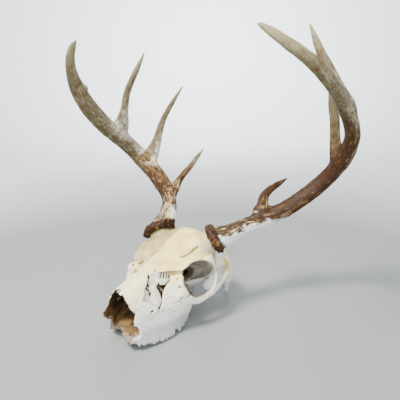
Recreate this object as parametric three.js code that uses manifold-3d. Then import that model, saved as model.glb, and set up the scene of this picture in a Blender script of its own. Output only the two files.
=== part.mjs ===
// White-tailed deer skull with eight-point antlers, upper jaw only, as a still display model.
// Millimetres. X runs to the animal's left, Y from muzzle to nape, Z up from the table.
// The skull is modelled whole, hollowed, and parted along its sutures with hairline cuts.
import * as THREE from "three";
import { mergeVertices } from "three/addons/utils/BufferGeometryUtils.js";
import Module from "manifold-3d";

const wasm = await Module();
wasm.setup();

// Driving dimensions.
const GAP = 0.3; // clearance at every suture and fork
const HALF_RING = 7; // facets from crown to palate on each side of the skull
const BEAM_SIDES = 8;
const TINE_SIDES = 6;
const BURR_HEIGHT = 11;
const PEDICLE_RADIUS = 14.5;
const TOOTH_COUNT = 6; // cheek teeth in each upper row
const WALL = 2.4; // bone round the nasal cavity

// Colours, sRGB.
const BONE = 0xeee6d2;
const WARM_BONE = 0xe2d3b4;
const INNER_BONE = 0xb99a68;
const TOOTH_BONE = 0xf1ece0;
const DARK_ANTLER = 0x6b4a2a;
const MID_ANTLER = 0x8a7454;
const PALE_ANTLER = 0xa99a7e;

// Face, muzzle to orbit: y, roof, crown half width and height, cheek half width and height,
// jaw half width and height, palate height.
const FACE = [
  [-136, 62.5, 11, 59, 21, 35, 19, 12, 12],
  [-126, 65.5, 12.5, 61.5, 23, 36, 21, 11, 12],
  [-112, 69, 13.5, 64, 27, 35, 25, 9, 13],
  [-97, 73, 14.5, 68, 31, 34, 29, 8, 14],
  [-82, 77.5, 18, 72.5, 36, 35, 33, 8, 14.5],
  [-71, 80, 25, 75, 42, 42, 36, 9, 14.5],
  [-62, 83, 34, 77.5, 46.5, 50, 38, 10, 14.5],
  [-52, 85.5, 40, 79, 49, 46, 37, 12, 15],
  [-44, 87, 36, 79, 40, 46, 31, 15, 16],
];

// Nasal cavity, one row under each of the first face rows: floor, greatest half width.
const CAVITY = [[17, 40], [17, 40], [18, 40], [19, 40], [21, 30], [26, 27], [34, 16]];

// Braincase and the narrow wall between the orbits: y, crown, base, half width.
const BRAIN = [
  [-66, 76, 34, 15],
  [-54, 81, 30, 17],
  [-40, 87, 34, 18],
  [-25, 92, 36, 22],
  [-12, 97.5, 36, 29],
  [0, 101.5, 34, 35],
  [14, 99, 31, 38.5],
  [28, 89.5, 27, 39],
  [40, 78, 24, 37.5],
  [50, 67, 24, 33],
  [57, 56, 26, 25],
];

// Frontal roof over the orbits: y, crown, edge half width, edge height, thickness.
const ROOF = [
  [-76, 78.5, 11, 75.5, 4],
  [-66, 81.5, 27, 77.5, 6],
  [-57, 84, 38, 79, 7.5],
  [-47, 87.3, 43.5, 82, 8],
  [-37, 91.8, 47.5, 84, 8.5],
  [-28, 95.2, 53, 80, 8.5],
  [-20, 97.8, 55, 77.5, 8.5],
  [-11, 100.3, 48, 82, 9],
  [-1, 102.6, 42, 87, 10],
  [9, 101.2, 37, 86, 10],
];

// Rim and arch below the orbit: x, y, z, half height, half thickness.
const ARCH = [
  [42.5, -67, 51, 6, 4],
  [46.5, -59, 42.5, 7.5, 4.5],
  [50.5, -48, 36.5, 5.6, 4.2],
  [55, -35, 37.5, 4.6, 3.6],
  [57.5, -20, 41, 4.6, 3.2],
  [57.5, -3, 45.5, 4.4, 3],
  [55, 12, 50, 4.2, 3],
  [48, 24, 53, 5.2, 4],
  [36, 29, 54, 7, 6],
];

// Bar behind the orbit, from the arch up to the roof.
const POSTORBITAL = [
  [56.5, -27, 37, 3.4, 5],
  [58, -23, 47, 3, 4.6],
  [58, -21.5, 60, 3, 4.6],
  [56, -22.5, 71, 3.4, 5.4],
  [51, -24, 80, 4.5, 7.5],
];

// Beams, burr to tip: x, y, z, width towards the tines, width across.
const LEFT_BEAM = [
  [43, 1, 98, 29, 28],
  [50, 10, 99, 27, 26],
  [56, 20, 102, 23, 22],
  [63, 34, 107, 20.5, 20],
  [80, 61, 114, 22, 20],
  [104, 80, 127, 23, 19],
  [120, 95, 140, 23, 19],
  [142, 108, 162, 23, 19],
  [163, 107, 188, 23, 18.5],
  [175, 98, 208, 22, 17.5],
  [181, 87, 226, 21, 17.5],
  [181, 74, 243, 20, 17.5],
  [180, 59, 255, 19, 17],
  [181, 29, 269, 18, 16],
  [182, -5, 280, 17, 14.5],
  [178, -29, 292, 15.5, 13.5],
  [170, -44, 303, 13.5, 12.5],
  [158, -52, 313, 11.5, 11],
  [145, -58, 323, 9, 9],
  [135, -61, 330, 6, 6],
  [130, -62, 333, 2.5, 2.5],
];
const RIGHT_BEAM = [
  [-48, 1, 94, 29, 28],
  [-46, 12, 105, 27, 26],
  [-50, 24, 112, 24, 23],
  [-60, 40, 122, 20.5, 20],
  [-80, 60, 133, 24, 20],
  [-114, 79, 151, 27, 19],
  [-158, 98, 170, 28, 19],
  [-174, 89, 190, 27, 18],
  [-179, 63, 212, 27, 18],
  [-179, 35, 232, 27, 17.5],
  [-177, 7, 256, 26, 17],
  [-173, -15, 281, 23, 16.5],
  [-166, -29, 298, 18, 15],
  [-156, -41, 316, 13.5, 13],
  [-143, -49, 329, 11, 11],
  [-133, -53, 336, 8, 8],
  [-122, -57, 341, 2.5, 2.5],
];
// Where each beam forks, counted in beam stations from the burr.
const LEFT_FORKS = [4.25, 8.7, 12.4];
const RIGHT_FORKS = [4.3, 6.4, 8.4];

// Tines, root to tip, by the same columns as the beams.
const LEFT_TINES = [
  [
    [76, 56, 121, 22, 15], [77, 66, 130, 17, 14], [74, 78, 141, 13, 12],
    [76, 92, 148, 10.5, 10], [82, 105, 154, 8, 8], [90, 115, 161, 2, 2],
  ],
  [
    [168, 104, 186, 30, 16], [158, 107, 201, 18, 14], [155, 108, 220, 13.5, 12.5],
    [153, 109, 240, 12.5, 12], [149, 110, 258, 11, 10.5], [146, 111, 274, 8, 8],
    [141, 112, 290, 2, 2],
  ],
  [
    [182, 63, 251, 20, 12], [180, 62, 262, 19, 14], [172, 61, 275, 15, 13.5],
    [163, 62, 289, 13.5, 12.5], [155, 62, 303, 12, 11.5], [146, 62, 319, 10.5, 10],
    [139, 62, 334, 7, 7], [132, 62, 349, 2, 2],
  ],
];
const RIGHT_TINES = [
  [
    [-73, 58, 131, 24, 15], [-71, 68, 138, 16, 13.5], [-72, 80, 148, 11, 10.5],
    [-70, 92, 158, 9.5, 9], [-67, 106, 168, 8.5, 8.5], [-65, 120, 180, 6.5, 6.5],
    [-63, 134, 191, 2, 2],
  ],
  [
    [-149, 95, 168, 36, 14], [-138, 102, 193, 22, 14], [-132, 105, 212, 13.5, 12.5],
    [-122, 107, 238, 10, 9.5], [-107, 109, 261, 8, 8], [-96, 110, 275, 5.5, 5.5],
    [-84, 110, 289, 2, 2],
  ],
  [
    [-184, 63, 214, 34, 13], [-172, 65, 236, 24, 13.5], [-165, 65, 258, 12.5, 12],
    [-158, 65, 281, 11, 10.5], [-146, 66, 301, 9.5, 9], [-133, 67, 320, 7, 7],
    [-121, 67, 337, 2, 2],
  ],
];

// A closed skin over rings of equal count, with a fan over each end.
function loft(rings) {
  const count = rings[0].length;
  const points = rings.flat();
  const middle = (ring) => ring.reduce((sum, p) => sum.add(p), new THREE.Vector3()).divideScalar(count);
  points.push(middle(rings[0]), middle(rings.at(-1)));
  const first = points.length - 2;
  const last = (rings.length - 1) * count;
  const index = [];
  for (let i = 0; i < count; i++) {
    const next = (i + 1) % count;
    for (let ring = 0; ring < last; ring += count)
      index.push(ring + i, ring + next, ring + count + next, ring + i, ring + count + next, ring + count + i);
    index.push(first, next, i, first + 1, last + i, last + next);
  }
  return new THREE.BufferGeometry().setFromPoints(points).setIndex(index);
}

// A three.js geometry as a solid whose faces point outward.
function solid(geometry) {
  const bare = geometry.clone();
  bare.deleteAttribute("normal");
  bare.deleteAttribute("uv");
  const merged = mergeVertices(bare, 1e-4);
  const triVerts = new Uint32Array(merged.index.array);
  const build = () => new wasm.Manifold(new wasm.Mesh({
    numProp: 3,
    vertProperties: merged.attributes.position.array,
    triVerts,
  }));
  const made = build();
  if (made.volume() > 0) return made;
  for (let i = 0; i < triVerts.length; i += 3)
    [triVerts[i + 1], triVerts[i + 2]] = [triVerts[i + 2], triVerts[i + 1]];
  return build();
}

const largest = (body) => body.decompose().sort((a, b) => b.volume() - a.volume())[0];
const join = (...bodies) => bodies.reduce((all, one) => all.add(one));

// The same shape on the animal's other side.
const across = (geometry) => geometry.clone().scale(-1, 1, 1);
const bothSides = (geometry) => solid(geometry).add(solid(across(geometry)));

// A ring across the skull at one y, from half a profile of [x, z] points, crown first.
function skullRing(y, half) {
  const curve = new THREE.CatmullRomCurve3(half.map(([x, z]) => new THREE.Vector3(x, y, z)));
  const left = curve.getPoints(HALF_RING);
  const right = left.slice(1, -1).reverse().map((p) => new THREE.Vector3(-p.x, p.y, p.z));
  return [...left, ...right];
}

// A rounded ring across the skull; a higher power is squarer.
function ovalRing(y, top, bottom, half, power = 2.4, sides = 2 * HALF_RING) {
  const round = (c) => Math.sign(c) * Math.abs(c) ** (2 / power);
  return Array.from({ length: sides }, (_, i) => {
    const a = (2 * Math.PI * i) / sides;
    const z = (top + bottom) / 2 + ((top - bottom) / 2) * round(Math.cos(a));
    return new THREE.Vector3(half * round(Math.sin(a)), y, z);
  });
}

// A tapering bar along stations of x, y, z and two half sizes: along `up` and across it.
function bar(stations, sides, up = new THREE.Vector3(0, 0, 1), steps = 1) {
  return loft(ringsAlong(stations, sides, () => up, 0, stations.length - 1, steps));
}

// Rings square to a smooth line through stations, between two places counted in stations.
function ringsAlong(stations, sides, upAt, from, to, steps, grow = 0) {
  const line = new THREE.CatmullRomCurve3(stations.map(([x, y, z]) => new THREE.Vector3(x, y, z)));
  const spans = stations.length - 1;
  const count = Math.max(1, Math.round((to - from) * steps));
  const rings = [];
  for (let k = 0; k <= count; k++) {
    const place = from + ((to - from) * k) / count;
    const at = line.getPoint(place / spans);
    const along = line.getTangent(Math.min(place / spans, 0.999));
    const i = Math.min(Math.floor(place), spans - 1);
    const halfSize = (c) => THREE.MathUtils.lerp(stations[i][c], stations[i + 1][c], place - i) + grow;
    const up = upAt(place).clone();
    up.addScaledVector(along, -up.dot(along)).normalize();
    const side = new THREE.Vector3().crossVectors(along, up);
    rings.push(Array.from({ length: sides }, (_, s) => {
      const a = (2 * Math.PI * s) / sides;
      return at.clone()
        .addScaledVector(up, halfSize(3) * Math.cos(a))
        .addScaledVector(side, halfSize(4) * Math.sin(a));
    }));
  }
  return rings;
}

const ellipsoid = (x, y, z, a, b, c, detail = 12) =>
  new THREE.SphereGeometry(1, detail, Math.round(detail * 0.55)).scale(a, b, c).translate(x, y, z);

// Prisms over an outline: one runs along X from a [y, z] outline, one along Z from an [x, y] outline.
function prismX(outline, x0, x1) {
  const shape = new THREE.Shape(outline.map(([y, z]) => new THREE.Vector2(y, z)));
  const turn = new THREE.Matrix4().makeBasis(
    new THREE.Vector3(0, 1, 0), new THREE.Vector3(0, 0, 1), new THREE.Vector3(1, 0, 0));
  return new THREE.ExtrudeGeometry(shape, { depth: x1 - x0, bevelEnabled: false })
    .applyMatrix4(turn).translate(x0, 0, 0);
}
function prismZ(outline, z0, z1) {
  const shape = new THREE.Shape(outline.map(([x, y]) => new THREE.Vector2(x, y)));
  return new THREE.ExtrudeGeometry(shape, { depth: z1 - z0, bevelEnabled: false }).translate(0, 0, z0);
}

// The outline pushed outward by a distance, whichever way round it is drawn.
function widen(outline, distance) {
  const points = outline.map(([u, v]) => new THREE.Vector2(u, v));
  const turn = Math.sign(THREE.ShapeUtils.area(points));
  return points.map((p, i) => {
    const before = points.at(i - 1);
    const after = points[(i + 1) % points.length];
    const a = p.clone().sub(before).normalize();
    const b = after.clone().sub(p).normalize();
    const out = new THREE.Vector2(a.y + b.y, -a.x - b.x).normalize().multiplyScalar(turn);
    const reach = distance / Math.max(0.4, Math.abs(out.dot(new THREE.Vector2(a.y, -a.x))));
    return [p.x + out.x * reach, p.y + out.y * reach];
  });
}

// ---- Skull, whole ----

const face = solid(loft(FACE.map(([y, roof, xc, zc, xk, zk, xj, zj, palate]) => skullRing(y, [
  [0, roof], [xc, zc], [(xc + xk) / 2 + 2, (zc + zk) / 2 + 3], [xk, zk],
  [xj, zj], [xj * 0.62, palate - 1], [0, palate],
]))));
const brain = solid(loft(BRAIN.map((s) => ovalRing(...s, 2.3))));
const roof = solid(loft(ROOF.map(([y, crown, half, edge, thick]) => skullRing(y, [
  [0, crown], [half * 0.55, (crown * 2 + edge) / 3 + 1.5], [half * 0.9, edge + 1], [half, edge - thick * 0.4],
  [half * 0.9, edge - thick], [half * 0.5, edge - thick], [0, edge - thick],
]))));

// Ridge across the back of the crown, ear region and the rounded bones under the braincase.
const crest = solid(bar([
  [-37, 37, 47, 5, 4], [-29, 47, 58, 4, 4], [-14, 51, 66, 3.6, 4], [0, 52.5, 68, 4.4, 5],
  [14, 51, 66, 3.6, 4], [29, 47, 58, 4, 4], [37, 37, 47, 5, 4],
], 5));
const mastoid = bothSides(bar([[34, 38, 50, 9, 7], [39, 42, 38, 8.5, 7], [37, 44, 26, 8, 7]], 6,
  new THREE.Vector3(0, 1, 0)));
const processes = bothSides(bar([
  [35, 42, 34, 9, 7], [35, 45, 26, 8.5, 6], [34.5, 47, 18, 7, 4.5],
  [32, 50, 9, 5.5, 3.6], [30, 52, -0.5, 3.2, 2.8],
], 7, new THREE.Vector3(0, 1, 0)));
const base = solid(bar([
  [0, -58, 32, 5, 6], [0, -30, 29, 6, 8], [0, 0, 27, 6, 10], [0, 30, 25, 6, 12], [0, 52, 26, 6, 13],
], 6));
const condyles = bothSides(ellipsoid(12.5, 57, 31, 9.5, 8.5, 11, 6));
const bullae = bothSides(ellipsoid(21, 20, 21, 7, 11, 8, 6));
const earTubes = bothSides(bar([[26, 26, 28, 6, 6], [36, 27, 33, 5, 5], [43.5, 28, 38, 4, 4]], 5));
const plates = bothSides(bar([
  [17, -50, 30, 3, 12], [17, -38, 32, 2.6, 12], [16, -28, 32, 2.4, 10], [15, -19, 31, 2.4, 5],
], 6, new THREE.Vector3(1, 0, 0)));
const arches = bothSides(bar(ARCH, 6));
const postorbitals = bothSides(bar(POSTORBITAL, 6, new THREE.Vector3(1, 0, 0)));

// Burr planes, and the bone pedicles that carry them.
const burrPlace = (beam, radius, ...axis) => ({
  centre: new THREE.Vector3(...beam[0].slice(0, 3)),
  axis: new THREE.Vector3(...axis).normalize(),
  radius,
});
const LEFT_BURR = burrPlace(LEFT_BEAM, 19.5, 0.7, 0.5, 0.51);
const RIGHT_BURR = burrPlace(RIGHT_BEAM, 22.5, -0.58, 0.32, 0.75);
function disc(place, from, to, radii, sides, ripple = 0) {
  const turn = new THREE.Quaternion().setFromUnitVectors(new THREE.Vector3(0, 0, 1), place.axis);
  return loft(radii.map((radius, k) => {
    const height = from + ((to - from) * k) / (radii.length - 1);
    return Array.from({ length: sides }, (_, i) => {
      const a = (2 * Math.PI * i) / sides;
      const r = radius * (1 + ripple * Math.cos(5 * a) + ripple * 0.7 * Math.sin(8 * a));
      return new THREE.Vector3(r * Math.cos(a), r * Math.sin(a), height)
        .applyQuaternion(turn)
        .add(place.centre);
    });
  }));
}
const pedicleRadii = [1.35, 1.12, 1].map((f) => f * PEDICLE_RADIUS);
const pedicles = [LEFT_BURR, RIGHT_BURR].map((place) =>
  solid(disc(place, -24, -BURR_HEIGHT / 2 - GAP, pedicleRadii, 10)));

// Openings: nasal cavity, broken muzzle, side windows of the nose, orbits, great foramen.
const cavityLoft = (inset) => loft(CAVITY.map(([floor, reach], i) => {
  const [y, roofZ, xc, zc, xk, zk, xj] = FACE[i];
  return skullRing(i ? y : y - 12, [
    [0, roofZ - inset],
    [xc - inset / 2, zc - inset],
    [Math.min((xc + xk) / 2 + 2 - inset, reach), (zc + zk) / 2 + 2],
    [Math.min(xk - inset, reach), zk],
    [Math.min(xj - 3 * inset, reach * 0.8), floor + 4],
    [xj * 0.4, floor],
    [0, floor],
  ]);
}));
const cavity = solid(cavityLoft(WALL));
const leftBreak = [[-150, 80], [-127, 68], [-128, 57], [-124, 47], [-124.5, 36], [-122, 28], [-124, 22],
  [-131, 16], [-133, 9], [-150, 5]];
const rightBreak = [[-150, 80], [-127, 68], [-127, 52], [-130, 44], [-134, 34], [-131, 24], [-130, 16],
  [-133, 9], [-150, 5]];
const breaks = solid(prismX(leftBreak, 0, 60)).add(solid(prismX(rightBreak, -60, 0)));
const windowOutline = [[-102, 61], [-96, 69], [-84, 74], [-66, 75], [-57, 75.5], [-62, 70.5], [-76, 63],
  [-85, 54], [-90, 43], [-94, 40], [-97, 48]];
const windows = bothSides(prismX(windowOutline, 8.5, 70));
const orbits = bothSides(ellipsoid(60, -42, 61, 42, 20.5, 22, 10));
const foramen = solid(ellipsoid(0, 60, 33, 8, 13, 8.5, 7));

// Upper cheek teeth: rounded blocks along each row, level underneath where they bear.
const toothRow = new THREE.CatmullRomCurve3([
  new THREE.Vector3(22.5, -121, 4), new THREE.Vector3(27.5, -108, 2), new THREE.Vector3(31, -95, 0),
  new THREE.Vector3(33, -81, 0), new THREE.Vector3(33, -68, 0), new THREE.Vector3(29.5, -55, 1.5),
]);
const teeth = [];
for (let i = 0; i < TOOTH_COUNT; i++) {
  const at = toothRow.getPoint(i / (TOOTH_COUNT - 1));
  const wide = 4.4 + 0.42 * i;
  const long = 6.4;
  const ring = (z, f) => ovalRing(0, at.y + long * f, at.y - long * f, wide * f, 3.2, 8)
    .map((p) => new THREE.Vector3(at.x + p.x, p.z, z));
  teeth.push(bothSides(loft([ring(at.z + 14, 1), ring(at.z, 0.8)])));
}

const noseRoom = solid(prismX([[-90, 0], [-60, 0], [-60, 74], [-90, 74]], -60, 60));
let skull = join(face, roof)
  .subtract(cavity)
  .subtract(orbits)
  .add(brain.subtract(orbits).subtract(noseRoom))
  .add(join(base, crest, mastoid, processes, condyles, bullae, earTubes, plates, arches, postorbitals))
  .add(join(...pedicles))
  .add(join(...teeth))
  .subtract(foramen)
  .subtract(windows)
  .subtract(breaks);
const table = solid(prismX([[-200, -50], [200, -50], [200, 0], [-200, 0]], -100, 100));
skull = largest(skull.subtract(table));

// ---- Skull, parted along its sutures ----

const parts = [];
function put(name, body, colour, roughness = 0.72) {
  const mesh = body.getMesh();
  const geometry = new THREE.BufferGeometry();
  const positions = new Float32Array(mesh.numVert * 3);
  for (let i = 0; i < mesh.numVert; i++)
    for (let c = 0; c < 3; c++) positions[3 * i + c] = mesh.vertProperties[i * mesh.numProp + c];
  geometry.setAttribute("position", new THREE.BufferAttribute(positions, 3));
  geometry.setIndex(new THREE.BufferAttribute(new Uint32Array(mesh.triVerts), 1));
  const flat = geometry.toNonIndexed();
  flat.computeVertexNormals();
  const material = new THREE.MeshStandardMaterial({ color: colour, roughness, metalness: 0 });
  const part = new THREE.Mesh(flat, material);
  part.name = name;
  parts.push(part);
}

// Takes one bone out of the skull: what lies in the side outline and in the plan outline.
let rest = skull;
function claim(name, side, plan, colour, mirrored = false) {
  const zone = (reach) => {
    const flip = mirrored ? across : (g) => g;
    const a = solid(flip(prismX(widen(side, reach), -GAP / 2 - 90, 90)));
    return a.intersect(solid(flip(prismZ(widen(plan, reach), -40, 140))));
  };
  put(name, largest(rest.intersect(zone(-GAP / 2))), colour);
  rest = rest.subtract(zone(GAP / 2));
}

const LEFT_HALF = [[0, -160], [90, -160], [90, 110], [0, 110]];

const NASAL_SIDE = [[-160, 53], [-112, 54], [-104, 61], [-98, 66], [-84, 71], [-66, 71], [-66, 120],
  [-160, 120]];
const NASAL_PLAN = [[0, -160], [18, -160], [17.5, -112], [14.5, -96], [13.5, -84], [9, -75], [0, -71]];
const FRONTAL_SIDE = [[-78, 70], [-60, 70], [-46, 66], [-24, 67], [-14, 64], [26, 64], [40, 120], [-78, 120]];
const FRONTAL_PLAN = [[0, -80], [90, -80], [90, 40], [40, 27], [24, 14], [12, 3], [0, -1]];
const LACRIMAL_SIDE = [[-96, 38], [-72, 43], [-60, 50], [-54, 62], [-52, 71], [-78, 71], [-96, 60]];
const ZYGOMATIC_SIDE = [[-98, 37.5], [-72, 42.5], [-60, 49.5], [-50, 62], [-12, 67], [4, 60], [16, 62],
  [16, 30], [-30, 22], [-44, 26], [-62, 28], [-80, 25], [-92, 30]];
const OUTER_PLAN = [[24, -160], [90, -160], [90, 110], [40.5, 110], [40.5, -20], [24, -45]];
const MAXILLA_SIDE = [[-160, -20], [-43, -20], [-43, 90], [-160, 90]];
const PALATE_PLAN = [[-24, -78], [-13, -84], [0, -86], [13, -84], [24, -78], [21, -40], [-21, -40]];
const SPHENOID_SIDE = [[-80, 5], [-9, 5], [-9, 40], [-18, 60], [-80, 72]];
const OCCIPITAL_SIDE = [[37, -20], [37, 22], [46, 30], [47.5, 60], [60, 120], [110, 120], [110, -20]];

for (const mirrored of [false, true]) {
  const end = mirrored ? "_right" : "_left";
  claim("nasal" + end, NASAL_SIDE, NASAL_PLAN, WARM_BONE, mirrored);
  claim("frontal" + end, FRONTAL_SIDE, FRONTAL_PLAN, WARM_BONE, mirrored);
  claim("zygomatic" + end, ZYGOMATIC_SIDE, OUTER_PLAN, BONE, mirrored);
  claim("lacrimal" + end, LACRIMAL_SIDE, OUTER_PLAN, BONE, mirrored);
}
claim("palate", [[-100, -10], [-30, -10], [-30, 24], [-100, 24]], PALATE_PLAN, WARM_BONE);
claim("maxilla_left", MAXILLA_SIDE, LEFT_HALF, TOOTH_BONE);
claim("maxilla_right", MAXILLA_SIDE, LEFT_HALF, TOOTH_BONE, true);
claim("sphenoid", SPHENOID_SIDE, [[-40, -80], [40, -80], [40, 20], [-40, 20]], WARM_BONE);
claim("occipital", OCCIPITAL_SIDE, [[-90, -20], [90, -20], [90, 120], [-90, 120]], BONE);
put("braincase", largest(rest), BONE);

// ---- Scrolls and partition inside the nose ----

const noseFloor = solid(prismX([[-200, 0], [0, 0], [0, 21], [-94, 19.5], [-200, 17.5]], -60, 60));
const room = solid(cavityLoft(WALL + GAP)).subtract(noseFloor);
for (const [side, end] of [[1, "_left"], [-1, "_right"]]) {
  const scroll = (sides, up, ...stations) =>
    solid(bar(stations.map(([x, y, z, a, b]) => [side * x, y, z, a, b]), sides, up));
  const upward = new THREE.Vector3(0, 0, 1);
  const outward = new THREE.Vector3(side * 0.87, -0.28, 0.4); // square to the side window
  const lower = scroll(6, upward, [13, -117, 33, 5, 4], [16, -104, 36, 8, 7], [18, -90, 38, 9, 8],
    [15, -76, 42, 7, 6]);
  const upper = scroll(6, upward, [8, -107, 58, 5, 4.5], [9, -94, 60, 6, 5], [12, -80, 61, 7, 7],
    [13, -68, 60, 8, 8]);
  const link = scroll(5, new THREE.Vector3(0, 1, 0), [15, -78, 44, 6, 6], [13, -74, 60, 6, 6]);
  const frontLeaf = scroll(6, outward, [11, -98, 67, 1, 4], [13.5, -102, 59, 1, 5], [17.5, -99, 50, 1, 5]);
  const rearLeaf = scroll(6, outward, [13.5, -82, 70, 1.3, 5], [17, -87, 61, 1.3, 6], [20.5, -90, 52, 1.3, 6],
    [23, -90, 45, 1.2, 4]);
  put("turbinates" + end, largest(join(lower, upper, link, frontLeaf, rearLeaf).intersect(room)), INNER_BONE);
}
const vomer = bar([
  [0, -122, 14, 8, 1.2], [0, -104, 16, 11, 1.3], [0, -86, 20, 14, 1.6], [0, -72, 34, 12, 2.4],
], 6);
put("vomer", largest(solid(vomer).intersect(room)), INNER_BONE);

// ---- Antlers ----

function antler(end, beam, forks, tines, place) {
  const inward = -Math.sign(beam[0][0]);
  const low = new THREE.Vector3(inward * 0.4, 0.8, 0.45);
  const high = new THREE.Vector3(inward * 0.85, 0.3, 0.4);
  const blend = (at) => low.clone().lerp(high, THREE.MathUtils.smoothstep(at, forks[0], forks[2]));
  const halved = beam.map(([x, y, z, a, b]) => [x, y, z, a / 2, b / 2]);
  const last = beam.length - 1;
  const stretch = (from, to, grow = 0) =>
    solid(loft(ringsAlong(halved, BEAM_SIDES, blend, from, to, 1, grow)));
  const foot = solid(disc(place, -60, -BURR_HEIGHT / 2, [40, 40], 8));
  const nick = GAP / 32; // station step worth one gap
  const ends = [-nick, ...forks, last + nick];
  const spans = forks.concat(last).map((_, i) => [ends[i] + nick, ends[i + 1] - nick]);
  const around = join(stretch(0, last, GAP), ...spans.map(([from, to]) => stretch(from, to, GAP)));

  const burrRadii = [0.84, 1, 1, 0.78].map((f) => f * place.radius);
  const burr = solid(disc(place, -BURR_HEIGHT / 2, BURR_HEIGHT / 2, burrRadii, 12, 0.035));
  put("antler_base" + end, largest(join(burr, stretch(...spans[0]).subtract(foot))), DARK_ANTLER, 0.6);
  put("antler_lower_beam" + end, stretch(...spans[1]), DARK_ANTLER, 0.6);
  put("antler_middle_beam" + end, stretch(...spans[2]), MID_ANTLER, 0.6);
  put("antler_upper_beam" + end, stretch(...spans[3]), PALE_ANTLER, 0.55);

  const names = ["antler_brow_tine", "antler_second_tine", "antler_third_tine"];
  tines.forEach((tine, i) => {
    const fork = forks[i] / last;
    const line = new THREE.CatmullRomCurve3(beam.map(([x, y, z]) => new THREE.Vector3(x, y, z)));
    const along = line.getTangent(fork);
    const sizes = tine.map(([x, y, z, a, b]) => [x, y, z, a / 2, b / 2]);
    const body = solid(loft(ringsAlong(sizes, TINE_SIDES, () => along, 0, tine.length - 1, 1)));
    put(names[i] + end, largest(body.subtract(around)), i === 0 ? DARK_ANTLER : PALE_ANTLER, 0.55);
  });
}
antler("_left", LEFT_BEAM, LEFT_FORKS, LEFT_TINES, LEFT_BURR);
antler("_right", RIGHT_BEAM, RIGHT_FORKS, RIGHT_TINES, RIGHT_BURR);

const deerSkull = new THREE.Group();
deerSkull.name = "deer_skull";
deerSkull.add(...parts);
export default deerSkull;
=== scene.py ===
import math

import bpy
import numpy as np
import openvdb
from mathutils import Matrix, Vector


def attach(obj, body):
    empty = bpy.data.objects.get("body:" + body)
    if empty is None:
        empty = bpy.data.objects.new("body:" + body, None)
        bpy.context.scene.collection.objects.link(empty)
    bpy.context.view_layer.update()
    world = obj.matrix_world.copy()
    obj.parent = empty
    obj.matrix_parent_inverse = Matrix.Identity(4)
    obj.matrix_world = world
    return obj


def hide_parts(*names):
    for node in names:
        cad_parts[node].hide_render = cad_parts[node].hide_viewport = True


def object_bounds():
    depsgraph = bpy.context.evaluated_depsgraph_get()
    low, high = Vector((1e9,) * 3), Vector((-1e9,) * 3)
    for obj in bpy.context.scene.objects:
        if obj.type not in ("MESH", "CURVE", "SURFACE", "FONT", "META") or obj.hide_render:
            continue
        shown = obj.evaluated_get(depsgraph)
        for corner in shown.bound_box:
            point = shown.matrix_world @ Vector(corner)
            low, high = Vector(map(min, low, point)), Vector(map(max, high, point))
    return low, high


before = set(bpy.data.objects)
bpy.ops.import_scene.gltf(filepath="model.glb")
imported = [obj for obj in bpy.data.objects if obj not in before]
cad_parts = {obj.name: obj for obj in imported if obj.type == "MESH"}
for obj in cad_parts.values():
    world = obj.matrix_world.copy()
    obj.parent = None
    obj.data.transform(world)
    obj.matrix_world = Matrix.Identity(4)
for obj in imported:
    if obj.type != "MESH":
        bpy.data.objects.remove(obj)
cad_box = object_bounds()
MM = 0.001


# ---- Face and roof of the skull ----
# Thin dry bone, grown as plates that meet in toothed seams. The whole skull is shaped first in a
# block of fine cells, each holding its distance to the bone in mm, and is parted into its bones later.
CELL = 0.7
SKULL_LOW = (-65.1, -140, -2.1)
SKULL_HIGH = (65.1, 72, 110)


class Block:
    """Cells in a box, each with its distance to the surface of what is shaped there, negative inside."""

    def __init__(self, low, high, cell):
        self.cell = cell
        self.axes = []
        for a, b in zip(low, high):
            count = np.arange(round(a / cell), round(b / cell) + 1)
            self.axes.append((count * cell).astype(np.float32))
        self.field = np.full([len(axis) for axis in self.axes], 9, np.float32)

    def add(self, shape, fillet):
        """Joins a shape on, with a fillet of about that width."""
        self.field = melt(self.field, shape, fillet)

    def cut(self, shape, fillet):
        """Cuts a shape away."""
        self.field = carve(self.field, shape, fillet)

    def grid(self, cut=(slice(None),) * 3):
        """The x, y and z of the cells, ready to combine."""
        x, y, z = (axis[s] for axis, s in zip(self.axes, cut))
        return x[:, None, None], y[None, :, None], z[None, None, :]

    def near(self, low, high):
        """The cells in a smaller box: their slices, and their x, y and z."""
        cut = tuple(slice(*np.searchsorted(axis, (a, b))) for axis, a, b in zip(self.axes, low, high))
        return cut, *self.grid(cut)


def melt(a, b, fillet):
    """Two shapes joined, with a fillet of about that width."""
    near = np.maximum(fillet - np.abs(a - b), 0) / fillet
    return np.minimum(a, b) - near * near * fillet / 4


def carve(a, b, fillet):
    """The first shape with the second cut away."""
    return -melt(-a, b, fillet)


def through(places, stations):
    """Rows of station values read at any place, on a smooth line through them; column 0 is the place."""
    rows = np.array(stations, float)
    at, values = rows[:, 0], rows[:, 1:]
    slope = np.gradient(values, at, axis=0)
    i = np.clip(np.searchsorted(at, places) - 1, 0, len(at) - 2)
    span = (at[i + 1] - at[i])[:, None]
    t = np.clip((places - at[i])[:, None] / span, 0, 1)
    return (
        values[i] * (1 + 2 * t) * (1 - t) ** 2
        + slope[i] * span * t * (1 - t) ** 2
        + values[i + 1] * t * t * (3 - 2 * t)
        + slope[i + 1] * span * t * t * (t - 1)
    )


def smooth_line(points, steps):
    """A line through the points, with that many steps on each stretch."""
    points = np.array(points, float)
    count = len(points)
    places = np.linspace(0, count - 1, (count - 1) * steps + 1)
    return through(places, np.column_stack([np.arange(count), points]))


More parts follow.
